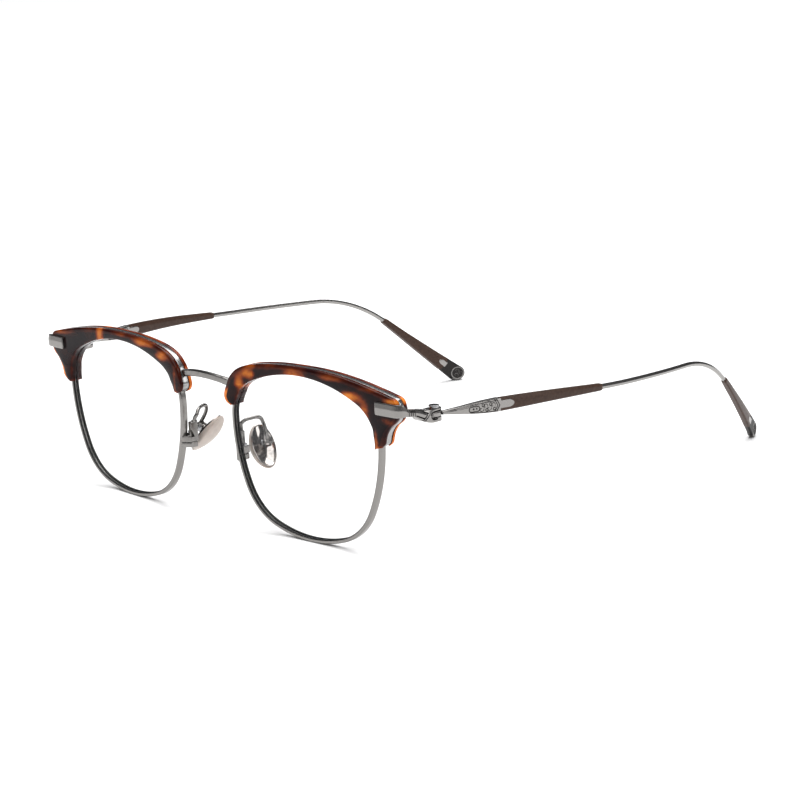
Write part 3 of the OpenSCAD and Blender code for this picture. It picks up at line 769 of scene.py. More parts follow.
def turned(shape, frame_at, profile, put, steps=40, closed=False):
    """Adds a body of revolution; profile is given as (radius, height) pairs."""
    origin, rows = frame_at
    rings = []
    for a in np.linspace(0, 2 * math.pi, steps, endpoint=False):
        p = np.array([[r * math.cos(a), r * math.sin(a), h] for r, h in profile])
        rings.append(origin + p @ rows)
    rings = put(np.array(rings))
    if closed:
        shape.loft(rings, closed=True)
        return
    n, k = rings.shape[:2]
    faces = []
    for i in range(n):
        a, b = i * k, ((i + 1) % n) * k
        for j in range(k - 1):
            faces.append([a + j, a + j + 1, b + j + 1, b + j])
    faces.append([i * k for i in range(n)])
    faces.append([i * k + k - 1 for i in range(n)])
    spread = np.zeros((n, k, 3))
    spread[..., 0] = np.array(profile)[None, :, 0]
    spread[..., 1] = np.linspace(0, 6, n)[:, None] * 0.3
    shape.add(rings, faces, spread)


def box_shape(frame_at, x, y, z, put):
    """A cutting box between the given limits of local x, y and z."""
    origin, rows = frame_at
    shape = Shape()
    rings = [[[a, b, c] for a, b in ((x[0], y[0]), (x[1], y[0]), (x[1], y[1]), (x[0], y[1]))] for c in z]
    shape.loft(put(origin + np.array(rings, float) @ rows))
    return shape


def head_profile(r, h, top=0.35, bevel=0.1):
    """A screw head from its shank side up to a slightly domed top."""
    rows = [(0.02, 0.0), (r - 0.04, 0.0), (r, 0.05), (r, h - bevel)]
    for q in np.linspace(0, math.pi / 2, 4)[1:]:
        rows.append((r - bevel * (1 - math.cos(q)), h - bevel + bevel * 0.8 * math.sin(q)))
    rows += [(r * 0.6, h - bevel * 0.12), (r * top, h - 0.01), (0.02, h)]
    return rows


def make_screw(name, frame_at, head, shank, slot, put, body, nodes, material_used=None):
    """A slotted screw: head (radius, height), shank (radius, length), slot (width, depth)."""
    shape = Shape()
    turned(shape, frame_at, head_profile(*head), put, 36)
    turned(shape, frame_at, [(0.02, -shank[1]), (shank[0] - 0.08, -shank[1]), (shank[0], -shank[1] + 0.1),
                             (shank[0], 0.02), (0.02, 0.02)], put, 28)
    made = shape.build(name, material_used or SCREW_METAL, body, nodes, 30)
    r, h = head
    x, y, z = (-2 * r, 2 * r), (-slot[0] / 2, slot[0] / 2), (h - slot[1], h + 1)
    cut(made, box_shape(frame_at, x, y, z, put), True)
    return made


def smooth_box(shape, frame_at, x, y, z, bevel, put):
    """Adds a block with rounded edges all round."""
    origin, rows = frame_at
    b = min(bevel, 0.45 * min(x[1] - x[0], y[1] - y[0], z[1] - z[0]))
    rings = []
    for low in (True, False):
        for q in quarter() if low else quarter()[::-1]:
            shift = b * (1 - math.sin(q))
            corners = [(x[0] + shift, y[0] + shift), (x[1] - shift, y[0] + shift),
                       (x[1] - shift, y[1] - shift), (x[0] + shift, y[1] - shift)]
            level = z[0] + b * (1 - math.cos(q)) if low else z[1] - b * (1 - math.cos(q))
            rings.append([[*p, level] for p in rounded(corners, max(b - shift * 0.4, 0.02), 4)])
    shape.loft(put(origin + np.array(rings, float) @ rows))


# ---------------------------------------------------------------- lug and hinge
HINGE_X, HINGE_Y, HINGE_Z = 68.4, 12.0, 35.0
LEAF_R = 1.8
SLOT_HALF = 0.67
LEAF_TOP = 36.5
# Middle line seen from above: x, y from the lens plane, thickness, height, height of the middle.
LUG_LINE = [
    (61.84, -0.70, 1.0, 3.16, 37.95), (64.0, -0.565, 1.0, 3.2, 37.95), (66.2, -0.43, 1.0, 3.2, 37.95),
    (67.5, -0.34, 1.0, 3.2, 37.93), (68.35, -0.14, 1.0, 3.15, 37.92), (68.9, 0.35, 1.05, 3.05, 37.88),
    (69.15, 1.0, 1.1, 2.9, 37.8), (69.22, 1.7, 1.15, 2.5, 37.6), (69.25, 2.3, 1.15, 1.85, 37.3),
    (69.27, 3.0, 1.15, 1.7, 37.08), (69.25, 3.7, 1.2, 1.65, 36.95), (69.2, 4.4, 1.3, 1.75, 36.8),
    (69.05, 5.1, 1.7, 2.1, 36.5), (68.8, 5.9, 2.4, 2.5, 36.15), (68.55, 6.8, 3.05, 2.8, 35.8),
    (68.42, 7.8, 3.45, 3.0, 35.45), (68.4, 8.8, 3.6, 3.1, 35.15), (68.4, 9.8, 3.6, 3.1, 34.97),
    (68.4, 10.9, 3.6, 3.1, 34.95), (68.4, 12.0, 3.6, 3.1, 34.95),
]
LUG_SECTION = [
    (-0.98, -0.82), (-0.8, -1), (0.62, -1), (0.9, -0.8), (1.0, 0.12), (0.62, 0.86), (0.5, 1), (-0.8, 1),
    (-0.98, 0.8),
]
FIRST_BEAD, BEAD_PITCH = 2.45, 0.6
LUG_SCREWS_U, LUG_SCREWS_W = (27.6, 31.4), 16.3


def dense(polygon, step):
    """The polygon with points no further apart than step."""
    p = np.asarray(polygon, float)
    out = []
    for i in range(len(p)):
        a, b = p[i], p[(i + 1) % len(p)]
        count = max(1, int(math.ceil(np.linalg.norm(b - a) / step)))
        out.extend(a + (b - a) * k / count for k in range(count))
    return np.array(out)


def line_gap(p, q, a, b):
    """Distance of the points (p, q) from the segment a to b."""
    a, b = np.array(a, float), np.array(b, float)
    d = b - a
    t = np.clip(((p - a[0]) * d[0] + (q - a[1]) * d[1]) / (d @ d), 0, 1)
    return np.hypot(p - a[0] - t * d[0], q - a[1] - t * d[1])


def groove(gap, half, depth):
    """Depth of a rounded groove at a distance gap from its middle."""
    return depth * np.clip(1 - (gap / half) ** 2, 0, 1) ** 0.7


def lug_relief(y, z):
    """Depth cut into the outer face of the hinge block: two slanted cuts and a U round the hinge."""
    total = groove(line_gap(y, z, (6.6, 33.9), (8.5, 35.9)), 0.17, 0.30)
    total = np.maximum(total, groove(line_gap(y, z, (7.25, 33.8), (8.85, 35.5)), 0.15, 0.28))
    total = np.maximum(total, groove(line_gap(y, z, (7.3, 36.6), (8.7, 35.9)), 0.15, 0.25))
    total = np.maximum(total, groove(line_gap(y, z, (5.0, 36.0), (7.4, 34.9)), 0.16, 0.22))
    upper = line_gap(y, z, (10.3, 35.95), (13.6, 36.0))
    lower = line_gap(y, z, (10.3, 34.15), (11.4, 34.1))
    bow = np.abs(np.hypot(y - 10.5, z - 35.05) - 0.92) + np.where(y > 10.6, 5.0, 0.0)
    return np.maximum(total, groove(np.minimum(np.minimum(upper, lower), bow), 0.17, 0.26))


def make_lug(name, side):
    """The lug from its front bar to the slotted and bored hinge block."""
    line = catmull(LUG_LINE, 12)
    end_y = line[-1, 1]
    tail = []
    for q in np.linspace(0, 1, 16)[1:]:
        y = end_y + LEAF_R * math.sin(q * math.pi / 2) * 0.995
        half = math.sqrt(max(LEAF_R**2 - (y - HINGE_Y) ** 2, 0.02))
        tail.append((HINGE_X, y, 2 * half, 3.1, 34.95))
    start = line[0]
    lead = []
    for s in (1.0, 0.8, 0.5):
        less = 0.3 * s * s
        lead.append((start[0] - s * 0.16, start[1] - 0.01 * s, start[2] - less, start[3] - less, start[4]))
    line = np.concatenate([lead, line, tail])
    section = dense(rounded(LUG_SECTION, 0.07, 3), 0.055)
    along = unit(np.gradient(line[:, :2], axis=0))
    along[line[:, 1] > 8.5] = (0, 1)
    rings, lows = [], []
    for row, t in zip(line, along):
        x, y, thick, high, mid = row
        beads = 0.0
        if 2.2 < y < 4.6:
            beads = 0.13 * max(math.cos(2 * math.pi * (y - FIRST_BEAD) / BEAD_PITCH), -0.6)
        out = np.array([t[1], -t[0]])
        ridge = np.clip((10.5 - y) / 3.0, 0.0, 1.0)
        flat = section.copy()
        squared = flat[:, 0] * ridge + (1 - ridge) * np.minimum(flat[:, 0] * 3, 1.0)
        flat[:, 0] = np.where(flat[:, 0] > 0, squared, flat[:, 0])
        n = flat[:, 0] * (thick / 2 + beads)
        z = mid + flat[:, 1] * (high / 2 + beads)
        px, py = x + out[0] * n, y + out[1] * n
        low = np.where((flat[:, 0] > 0.5) & (y > 4.8), lug_relief(py, z), 0.0)
        px = px - out[0] * low
        py = py - out[1] * low
        rings.append(np.stack([px, py, z], -1))
        lows.append(np.clip(low / 0.25, 0, 1) + 0.5 * (beads < -0.03))
    shape = Shape()
    shape.loft(place(np.array(rings), side))
    made = shape.build(f"lug_{name}_bar", LUG_METAL, "front", [f"lug_{name}"], 30)
    face_attribute(made, "relief_and_shade", np.array(lows))

    def put(p):
        return place(p, side)

    at = axes((HINGE_X, HINGE_Y, HINGE_Z), (0, 0, 1))
    cut(made, box_shape(at, (-2.6, 2.6), (-LEAF_R - 0.2, 4), (-SLOT_HALF, SLOT_HALF), put))
    bore = Shape()
    turned(bore, at, [(0.02, -4), (0.6, -4), (0.6, 4), (0.02, 4)], put, 28)
    cut(made, bore)
    return made


def make_hinge_parts(name, side):
    """The hinge screw and the two washers."""
    def put(p):
        return place(p, side)

    at = axes((HINGE_X, HINGE_Y, LEAF_TOP), (0, 0, 1), (0.86, 0.5, 0))
    make_screw(f"hinge_screw_{name}_slotted", at, (1.3, 0.7), (0.6, 3.1), (0.34, 0.34), put, "front",
               [f"hinge_screw_{name}"])
    shape = Shape()
    for z in (HINGE_Z + 0.51, HINGE_Z - 0.66):
        at = axes((HINGE_X, HINGE_Y, z), (0, 0, 1))
        washer = [(0.64, 0), (1.36, 0), (1.4, 0.04), (1.4, 0.11), (1.36, 0.15), (0.64, 0.15)]
        turned(shape, at, washer, put, 40, True)
    shape.build(f"washers_{name}_pair", SCREW_METAL, "front", [f"hinge_washers_{name}"])


def make_lug_screws(name, side):
    """The two screws that clamp brow, strip and lug from behind."""
    def put(p):
        return half_front(p, side)

    for i, u in enumerate(LUG_SCREWS_U):
        turn = math.radians(25 + 70 * i)
        at = axes((u, BROW_BACK, LUG_SCREWS_W), (0, 1, 0), (math.cos(turn), 0, math.sin(turn)))
        nodes = [f"lug_screws_{name}"] if i == 0 else []
        make_screw(f"lug_screw_{name}_{i}", at, (0.95, 0.3), (0.6, 4.3), (0.3, 0.16), put, "front", nodes,
                   WIRE_METAL)


# ---------------------------------------------------------------- rim lock
LOCK_U = (-26.6, -23.9)
LOCK_V = (0.9, 3.1)
LOCK_W = (-4.6, -3.0, -1.0, 2.3)
LOCK_SCREW = (-24.65, 2.0)


def make_lock(name, side):
    """The two blocks that close the wire, and their screw."""
    def put(p):
        return half_front(p, side)

    at = axes((0, 0, 0), (0, 0, 1))
    edge = outline(WIRE_SPLIT, WIRE_T / 2)[0]
    slope = rounded([(edge + 0.5, -0.8), (edge - 0.1, -0.8), (LOCK_U[0] + 0.02, LOCK_V[0] - 0.1),
                     (LOCK_U[0] + 0.02, 1.5), (edge + 0.5, 1.5)], 0.1, 3)

    def cover(shape, low, high):
        """The sloping cheek from the wire's side to the lock's side."""
        middle = slope.mean(0)
        slices = []
        for w, size in ((low, 0.95), (low + 0.08, 1.0), (high - 0.08, 1.0), (high, 0.95)):
            slices.append([[*(middle + (p - middle) * size), w] for p in slope])
        shape.loft(put(np.array(slices)))

    upper = Shape()
    cover(upper, LOCK_W[1] + 0.05, -1.2)
    smooth_box(upper, at, LOCK_U, LOCK_V, (LOCK_W[1] + 0.05, LOCK_W[2]), 0.16, put)
    smooth_box(upper, at, (LOCK_U[0], LOCK_U[0] + 1.2), LOCK_V, (LOCK_W[1] + 0.3, LOCK_W[3]), 0.22, put)
    top = upper.build(f"lock_{name}_upper", GUNMETAL, "front", [f"lock_top_{name}"], 30)
    notch = Shape()
    wedge = [(-0.2, -1.7), (1.9, -1.7), (1.75, -1.2), (1.0, 0.4), (0.2, -0.7)]
    notch.loft(put(np.array([[[u, v, w] for v, w in wedge] for u in (LOCK_U[0] - 0.3, LOCK_U[0] + 0.7)])))
    cut(top, notch, True)
    lower = Shape()
    cover(lower, LOCK_W[0] + 0.25, LOCK_W[1])
    lower_u, lower_v = (LOCK_U[0] + 0.1, LOCK_U[1] - 0.05), (LOCK_V[0], LOCK_V[1] - 0.1)
    smooth_box(lower, at, lower_u, lower_v, (LOCK_W[0], LOCK_W[1]), 0.3, put)
    lower.build(f"lock_{name}_lower", GUNMETAL, "front", [f"lock_bottom_{name}"], 30)
    at = axes((*LOCK_SCREW, LOCK_W[2]), (0, 0, 1), (0.6, 0.8, 0))
    make_screw(f"lock_screw_{name}_slotted", at, (0.65, 0.6), (0.4, 3.4), (0.24, 0.25), put, "front",
               [f"lock_screw_{name}"])


# ---------------------------------------------------------------- nose pads
PAD_MID = np.array([10.9, 6.4, 19.0])
PAD_LONG = unit([-0.6, 0.28, 0.75])
PAD_FACE = np.array([-0.75, 0.13, -0.65])
PAD_FACE = unit(PAD_FACE - (PAD_FACE @ PAD_LONG) * PAD_LONG)
PAD_ACROSS = np.cross(PAD_LONG, PAD_FACE)
PAD_HALF = (3.5, 6.4)
PAD_REAR = -0.4
PAD_DOME_R, PAD_DOME_TOP = 15.3, 1.3
PAD_AXIS = -2.3
FORK_BACK = -3.2
ARM_R = 0.5
ARM_PATH = [
    (9.45, 0.9, 23.6), (9.25, 1.0, 24.6), (8.75, 1.4, 25.6), (9.25, 2.3, 26.5), (10.0, 3.7, 26.85),
    (10.5, 5.2, 26.95), (10.85, 6.25, 26.5), (11.3, 6.6, 25.3), (12.2, 6.5, 23.6),
]


def pad_point(p):
    """Places points given across, along and out of the face of the pad."""
    return PAD_MID + np.asarray(p, float) @ np.stack([PAD_ACROSS, PAD_LONG, PAD_FACE])


def make_pad(name, side):
    """The soft pad: a domed oval with a rounded rim."""
    turns = np.linspace(0, 2 * math.pi, 96, endpoint=False)
    oval = np.stack([PAD_HALF[0] * np.cos(turns), PAD_HALF[1] * np.sin(turns)], -1)

    def dome(flat):
        reach = np.clip(PAD_DOME_R**2 - (flat**2).sum(1), 0, None)
        return np.sqrt(reach) - PAD_DOME_R + PAD_DOME_TOP

    rings = []
    for s in (0.03, 0.12, 0.25, 0.4, 0.55, 0.7, 0.82, 0.9, 0.95):
        flat = oval * s
        rings.append(np.column_stack([flat, dome(flat)]))
    rim = dome(oval * 0.95)
    for s, part in ((0.98, 0.1), (0.995, 0.3), (1.0, 0.55), (0.993, 0.8), (0.975, 0.95), (0.95, 1.0)):
        rings.append(np.column_stack([oval * s, rim * (1 - part) + PAD_REAR * part]))
    for s, z in ((0.8, -0.2), (0.6, 0.05), (0.35, 0.25), (0.03, 0.32)):
        rings.append(np.column_stack([oval * s, np.full(len(oval), z)]))
    shape = Shape()
    shape.loft(place(pad_point(np.array(rings)), side))
    return shape.build(f"pad_{name}_soft", PAD_SOFT, f"pad_{name}", [f"nose_pad_{name}"], 40)


def make_pad_back(name, side):
    """The dished plate behind the pad, with its raised rim and the tab for the pivot."""
    turns = np.linspace(0, 2 * math.pi, 96, endpoint=False)
    oval = np.stack([(PAD_HALF[0] - 0.3) * np.cos(turns), (PAD_HALF[1] - 0.3) * np.sin(turns)], -1)
    front, back = PAD_REAR, PAD_REAR - 0.5
    levels = [
        (0.03, back + 1.12), (0.35, back + 1.05), (0.6, back + 0.85), (0.8, back + 0.62),
        (0.97, front), (0.995, front - 0.06), (1.0, front - 0.2),
        (1.0, back + 0.15), (0.992, back + 0.04), (0.975, back), (0.955, back + 0.03), (0.935, back + 0.11),
        (0.9, back + 0.2), (0.8, back + 0.38), (0.6, back + 0.66), (0.35, back + 0.86), (0.15, back + 0.93),
        (0.03, back + 0.95),
    ]
    shape = Shape()
    rings = [np.column_stack([oval * s, np.full(len(oval), z)]) for s, z in levels]
    shape.loft(place(pad_point(np.array(rings)), side))

    def put(p):
        return place(pad_point(p), side)

    tab = [(-1.0, back + 0.95), (1.0, back + 0.95)]
    for a in np.linspace(0, math.pi, 16):
        tab.append((math.cos(a), PAD_AXIS - math.sin(a)))
    slices = []
    for x, inset in ((-0.55, 0.12), (-0.5, 0.04), (-0.43, 0.0), (0.43, 0.0), (0.5, 0.04), (0.55, 0.12)):
        middle = np.array([0, PAD_AXIS])
        slices.append([[x, *(middle + (np.array(p) - middle) * (1 - inset))] for p in tab])
    shape.loft(put(np.array(slices)))
    made = shape.build(f"pad_{name}_plate", PAD_METAL, f"pad_{name}", [f"pad_back_{name}"],
                       38)
    bore = Shape()
    pivot = axes((0, 0, PAD_AXIS), (1, 0, 0), (0, 1, 0))
    turned(bore, pivot, [(0.02, -2), (0.45, -2), (0.45, 2), (0.02, 2)], put, 24)
    cut(made, bore, True)
    return made


def tube(shape, points, radius, put, steps=16):
    """Adds a round tube with flat ends; radius is one value, or one for each point."""
    p = np.asarray(points, float)
    along = unit(np.gradient(p, axis=0))
    side_way = unit(np.cross(along[0], (0.3, 0.2, 0.9)))
    rings = []
    for i, (point, t) in enumerate(zip(p, along)):
        side_way = unit(side_way - (side_way @ t) * t)
        other = np.cross(t, side_way)
        r = radius if np.isscalar(radius) else radius[i]
        turns = np.linspace(0, 2 * math.pi, steps, endpoint=False)
        rings.append(point + r * (np.cos(turns)[:, None] * side_way + np.sin(turns)[:, None] * other))
    shape.loft(put(np.array(rings)))


def make_arm(name, side):
    """The bent arm from the lock, with the fork and the two ears that hold the pad."""
    def put(p):
        return place(p, side)

    def put_pad(p):
        return place(pad_point(p), side)

    foot = pad_point((0, 0, FORK_BACK - 0.35))
    path = catmull([*ARM_PATH, tuple(foot)], 9)
    share = np.linspace(0, 1, len(path))
    radius = ARM_R * (1 - 0.10 * np.exp(-((share - 0.45) / 0.12) ** 2))
    shape = Shape()
    tube(shape, path, radius, put, 20)
    collar = [(0.02, 0), (0.72, 0), (0.78, 0.06), (0.78, 0.3), (0.7, 0.42), (0.5, 0.5), (0.02, 0.5)]
    turned(shape, axes((9.45, 0.9, 23.62), (0, 0, 1)), collar, put, 30)
    at = axes((0, 0, 0), (0, 0, 1))
    smooth_box(shape, at, (-1.15, 1.15), (-0.9, 0.9), (FORK_BACK - 0.7, FORK_BACK), 0.18, put_pad)
    for flip in (-1, 1):
        ear = []
        for a in np.linspace(0, math.pi, 18):
            ear.append((1.1 * math.cos(a), PAD_AXIS + 1.1 * math.sin(a)))
        ear += [(-1.1, PAD_AXIS - 0.4), (-0.9, FORK_BACK - 0.1)]
        ear += [(0.9, FORK_BACK - 0.1), (1.1, PAD_AXIS - 0.4)]
        slices = []
        for x, inset in ((0.65, 0.06), (0.7, 0.015), (0.75, 0), (1.05, 0), (1.1, 0.02), (1.15, 0.08)):
            middle = np.array([0, PAD_AXIS])
            slices.append([[flip * x, *(middle + (np.array(p) - middle) * (1 - inset))] for p in ear])
        shape.loft(put_pad(np.array(slices)))
    made = shape.build(f"arm_{name}_bent", GUNMETAL, "front", [f"pad_arm_{name}"], 34)
    bore = Shape()
    pivot = axes((0, 0, PAD_AXIS), (1, 0, 0), (0, 1, 0))
    turned(bore, pivot, [(0.02, -2), (0.4, -2), (0.4, 2), (0.02, 2)], put_pad, 24)
    cut(made, bore, True)
    at = axes((1.15, 0, PAD_AXIS), (1, 0, 0), (0, 0.8, 0.6))
    make_screw(f"pad_screw_{name}_slotted", at, (0.75, 0.4), (0.4, 2.3), (0.2, 0.2), put_pad, "front",
               [f"pad_screw_{name}"])


# ---------------------------------------------------------------- temples
TEMPLE_START = (14.0, 35.0)
TEMPLE_SLOPE, TIP_SLOPE = 3.0, 42.0
STRAIGHT = 85.0
EAR_R = 38.0
BOW_R, BOW_X, BOW_Y = 190.0, -114.3, 63.2
PADDLE_R = 2.3
TEMPLE_LIFT, LIFT_LENGTH = 0.42, 60.0  # the line bows up this much over its first stretch
BEND = EAR_R * math.radians(TIP_SLOPE - TEMPLE_SLOPE)
BEND_AT = (TEMPLE_START[0] + STRAIGHT * cosd(TEMPLE_SLOPE), TEMPLE_START[1] - STRAIGHT * sind(TEMPLE_SLOPE))
BEND_OUT = (BEND_AT[0] + EAR_R * (sind(TIP_SLOPE) - sind(TEMPLE_SLOPE)),
            BEND_AT[1] + EAR_R * (cosd(TIP_SLOPE) - cosd(TEMPLE_SLOPE)))
TEMPLE_LEN = STRAIGHT + BEND + (BEND_OUT[1] - PADDLE_R) / sind(TIP_SLOPE)
SLEEVE_FROM, WIRE_START, TIP_FROM = 15.5, 49.0, 109.5
SLEEVE_ROUND = 0.8  # length of the rounding at the end of a sleeve
CAP_FROM, CAP_TONGUE = TEMPLE_LEN - 5.0, TEMPLE_LEN - 8.5
SPATULA_H = [(-0.4, 0.45), (0.6, 0.5), (5, 0.95), (8, 1.3), (11, 1.55), (15, 1.7), (15.5, 1.65)]
TONGUE_H = [(15.4, 1.0), (18.3, 1.0), (18.8, 0.86), (19.2, 0.62), (19.4, 0.36), (19.5, 0.12)]
SLEEVE_H = [(15.5, 1.7), (22, 1.6), (36, 1.25), (49, 0.9)]
WIRE_H = [(48.5, 0.65), (80, 0.6), (110, 0.6)]
TIP_H = [(109.5, 0.8), (117.5, 1.1), (129.5, 1.75), (TEMPLE_LEN, PADDLE_R)]


def temple_mid(s):
    """Point and downward slope (degrees) of the temple's middle line in the side view."""
    lift = TEMPLE_LIFT * math.sin(math.pi * min(max(s, 0) / LIFT_LENGTH, 1)) ** 2
    turn = TEMPLE_SLOPE + (TIP_SLOPE - TEMPLE_SLOPE) * min(max((s - STRAIGHT) / BEND, 0), 1)
    if s <= STRAIGHT:
        y = TEMPLE_START[0] + s * cosd(TEMPLE_SLOPE)
        z = TEMPLE_START[1] - s * sind(TEMPLE_SLOPE)
    elif s <= STRAIGHT + BEND:
        y = BEND_AT[0] + EAR_R * (sind(turn) - sind(TEMPLE_SLOPE))
        z = BEND_AT[1] + EAR_R * (cosd(turn) - cosd(TEMPLE_SLOPE))
    else:
        rest = s - STRAIGHT - BEND
        y = BEND_OUT[0] + rest * cosd(TIP_SLOPE)
        z = BEND_OUT[1] - rest * sind(TIP_SLOPE)
    return y, z + lift, turn


def on_temple(s, n, h):
    """Places at a distance s along the temple, n outward and h up across it."""
    y0, z0, turn = temple_mid(s)
    n, h = np.asarray(n, float), np.asarray(h, float)
    y = y0 + h * sind(turn)
    z = z0 + h * cosd(turn)
    x = BOW_X + np.sqrt((BOW_R + n) ** 2 - (y - BOW_Y) ** 2)
    return np.stack([x + 0 * h, y + 0 * n, z + 0 * n], -1)


def height(table, s):
    """The half height at a distance s, from rows of (distance, half height)."""
    rows = np.array(table)
    return float(np.interp(s, rows[:, 0], rows[:, 1]))


def temple_loft(shape, stations, section, tall, thick, side):
    """Rings of a section (n, h in -1..1) along the temple; tall and thick give the half sizes."""
    rings = []
    for s in stations:
        rings.append(on_temple(s, section[:, 0] * thick(s), section[:, 1] * tall(s)))
    shape.loft(place(np.array(rings), side))


def scroll(s, h, middle, centre, turn, reach):
    """Depth of an engraved spiral round a centre."""
    ds, dh = s - middle, h - centre
    r = np.hypot(ds, dh)
    angle = np.arctan2(dh, ds) * turn
    wave = np.abs(np.sin(angle * 0.5 + r * 4.2))
    return np.where(r < reach, np.clip((0.36 - wave) / 0.2, 0, 1), 0) * (r > 0.12)


def spatula_relief(s, h, half):
    """0 to 1: how low the engraving lies at a distance s and height h on the spatula's face."""
    q = h / half
    edge = np.abs(np.abs(h + 0.08) - (half - 0.36))
    border = np.where((s > 6.9) & (s < 14.6), np.clip(1 - (edge / 0.10) ** 2, 0, 1), 0)
    low = -0.12
    dx = np.maximum(np.abs(s - 8.0) - 0.85, 0)
    capsule = np.abs(np.hypot(dx, h - low) - 0.62)
    total = np.maximum(border, np.clip(1 - (capsule / 0.13) ** 2, 0, 1))
    for at, size in ((7.75, 0.26), (8.6, 0.2)):
        dot = np.hypot((s - at) / size, (h - low - 0.06) / 0.24)
        total = np.maximum(total, np.clip(1.2 - dot**2, 0, 1))
    field = (s > 9.35) & (s < 14.0) & (np.abs(h + 0.08) < half - 0.5)
    curls = np.zeros_like(h)
    for i, middle in enumerate((9.95, 11.0, 12.1, 13.2)):
        way = 1 if i % 2 else -1
        curls = np.maximum(curls, scroll(s, h, middle, 0.30 * way - 0.08, way, 0.78))
        leaf = np.abs(np.hypot(s - middle - 0.5, h + 0.08 + 0.62 * way) - 0.34)
        curls = np.maximum(curls, np.clip(1 - (leaf / 0.11) ** 2, 0, 1))
    total = np.maximum(total, np.where(field, curls, 0))
    point = 15.2 - 1.0 * np.abs(q)
    for shift, wide in ((0.0, 0.13), (-0.55, 0.12)):
        line = np.clip(1 - ((s - point - shift) / wide) ** 2, 0, 1)
        total = np.maximum(total, np.where(np.abs(q) < 0.86, line, 0))
    return total


SPATULA_T = 0.9
RELIEF_DEPTH = 0.11
TEMPLE_WIRE = [(-1, 0.15), (-1, -0.1), (-0.62, -1), (0.62, -1), (1, -0.1), (1, 0.15), (0.4, 1), (-0.4, 1)]


def spatula_half(s):
    """Half height of the spatula, and of its tongue inside the sleeve."""
    return height(SPATULA_H, s) if s <= SLEEVE_FROM else height(TONGUE_H, s)


def make_temple(name, side):
    """The metal of the temple: engraved spatula, tongue, thin wire and hinge knuckle."""
    columns = np.linspace(-1, 1, 57)
    stations = np.concatenate([np.linspace(-0.4, 5.8, 40), np.arange(5.86, 15.5, 0.065), [15.5],
                               np.linspace(15.505, 18.3, 12), np.linspace(18.35, 19.5, 14)])
    rings, lows = [], []
    for s in stations:
        half = spatula_half(s)
        ridge = float(np.interp(s, [0, 4, 12, 15.5], [0.05, 0.2, 0.72, 0.8]))
        slope = float(np.interp(s, [0, 12, 15.5, 15.6], [0.42, 0.30, 0.2, 0.06]))
        fall = np.clip((columns - ridge) / (1 - ridge), 0, 1) * slope
        fall = fall + np.clip((-0.86 - columns) / 0.14, 0, 1) * 0.12
        fall = fall + 0.05 * np.clip((np.abs(columns) - 0.94) / 0.06, 0, 1)
        thick = SPATULA_T * float(np.interp(s, [-0.4, 1, 3], [0.8, 0.9, 1.0]))
        low = spatula_relief(s, columns * half, half) if s < SLEEVE_FROM else np.zeros_like(columns)
        outer = thick - fall - RELIEF_DEPTH * low
        n = np.concatenate([outer, -outer[::-1]])
        h = np.concatenate([columns, columns[::-1]]) * half
        rings.append(on_temple(s, n, h))
        lows.append(np.concatenate([low, low[::-1]]))
    shape = Shape()
    shape.loft(place(np.array(rings), side))
    low_count = len(shape.verts)
    wire = rounded(TEMPLE_WIRE, 0.12, 3)
    stations = np.arange(WIRE_START - 0.8, TIP_FROM + 1.2, 0.5)
    temple_loft(shape, stations, wire, lambda s: height(WIRE_H, s), lambda s: 0.6, side)

    def put(p):
        return place(p, side)

    at = axes((HINGE_X, HINGE_Y, HINGE_Z - 0.5), (0, 0, 1))
    knuckle = [(0.65, 0.0), (1.62, 0.0), (1.7, 0.08), (1.7, 0.92), (1.62, 1.0), (0.65, 1.0)]
    turned(shape, at, knuckle, put, 48, True)
    made = shape.build(f"temple_{name}_bar", RELIEF, f"temple_{name}", [f"temple_{name}"], 28)
    values = np.zeros(len(shape.verts))
    values[:low_count] = np.array(lows).ravel()
    face_attribute(made, "relief_and_shade", values)
    return made


SLEEVE_SECTION = [
    (-0.94, 0.42), (-1, 0.3), (-1, -0.72), (-0.72, -1), (0.72, -1), (1, -0.72), (1, 0.3), (0.94, 0.42),
    (0.55, 1), (-0.55, 1),
]


def end_factor(s, start, stop):
    """Falls in a quarter round to a smaller section at each end of a sleeve."""
    near = min(s - start, stop - s)
    if near >= SLEEVE_ROUND:
        return 1.0
    q = 1 - near / SLEEVE_ROUND
    return 0.72 + 0.28 * math.sqrt(max(1 - q * q, 0))


def make_sleeves(name, side):
    """The brown sleeve behind the spatula, and the brown one over the tip."""
    section = rounded(SLEEVE_SECTION, 0.1, 3)
    swing = np.cos(np.linspace(0, 1.57, 8))

    def front_end(s):
        return end_factor(s, -math.inf, WIRE_START)

    def tip_end(s):
        return end_factor(s, TIP_FROM, math.inf)

    shape = Shape()
    stations = np.concatenate([np.linspace(SLEEVE_FROM, WIRE_START - SLEEVE_ROUND, 90),
                               WIRE_START - SLEEVE_ROUND * swing[1:]])
    temple_loft(shape, stations, section, lambda s: height(SLEEVE_H, s) * front_end(s),
                lambda s: 0.85 * front_end(s), side)
    shape.build(f"temple_sleeve_{name}_brown", ENAMEL, f"temple_{name}", [f"temple_sleeve_{name}"],
                26)
    shape = Shape()
    stations = np.concatenate([TIP_FROM + SLEEVE_ROUND * (1 - swing[:-1]),
                               np.linspace(TIP_FROM + SLEEVE_ROUND, CAP_FROM, 70)])
    temple_loft(shape, stations, section, lambda s: height(TIP_H, s) * tip_end(s),
                lambda s: float(np.interp(s, [TIP_FROM, TIP_FROM + 4], [0.85, 1.0])) * tip_end(s), side)
    shape.build(f"tip_sleeve_{name}_brown", ENAMEL, f"temple_{name}", [f"tip_sleeve_{name}"],
                26)


CAP_INSET = 0.008  # keeps the cap just inside the CAD box


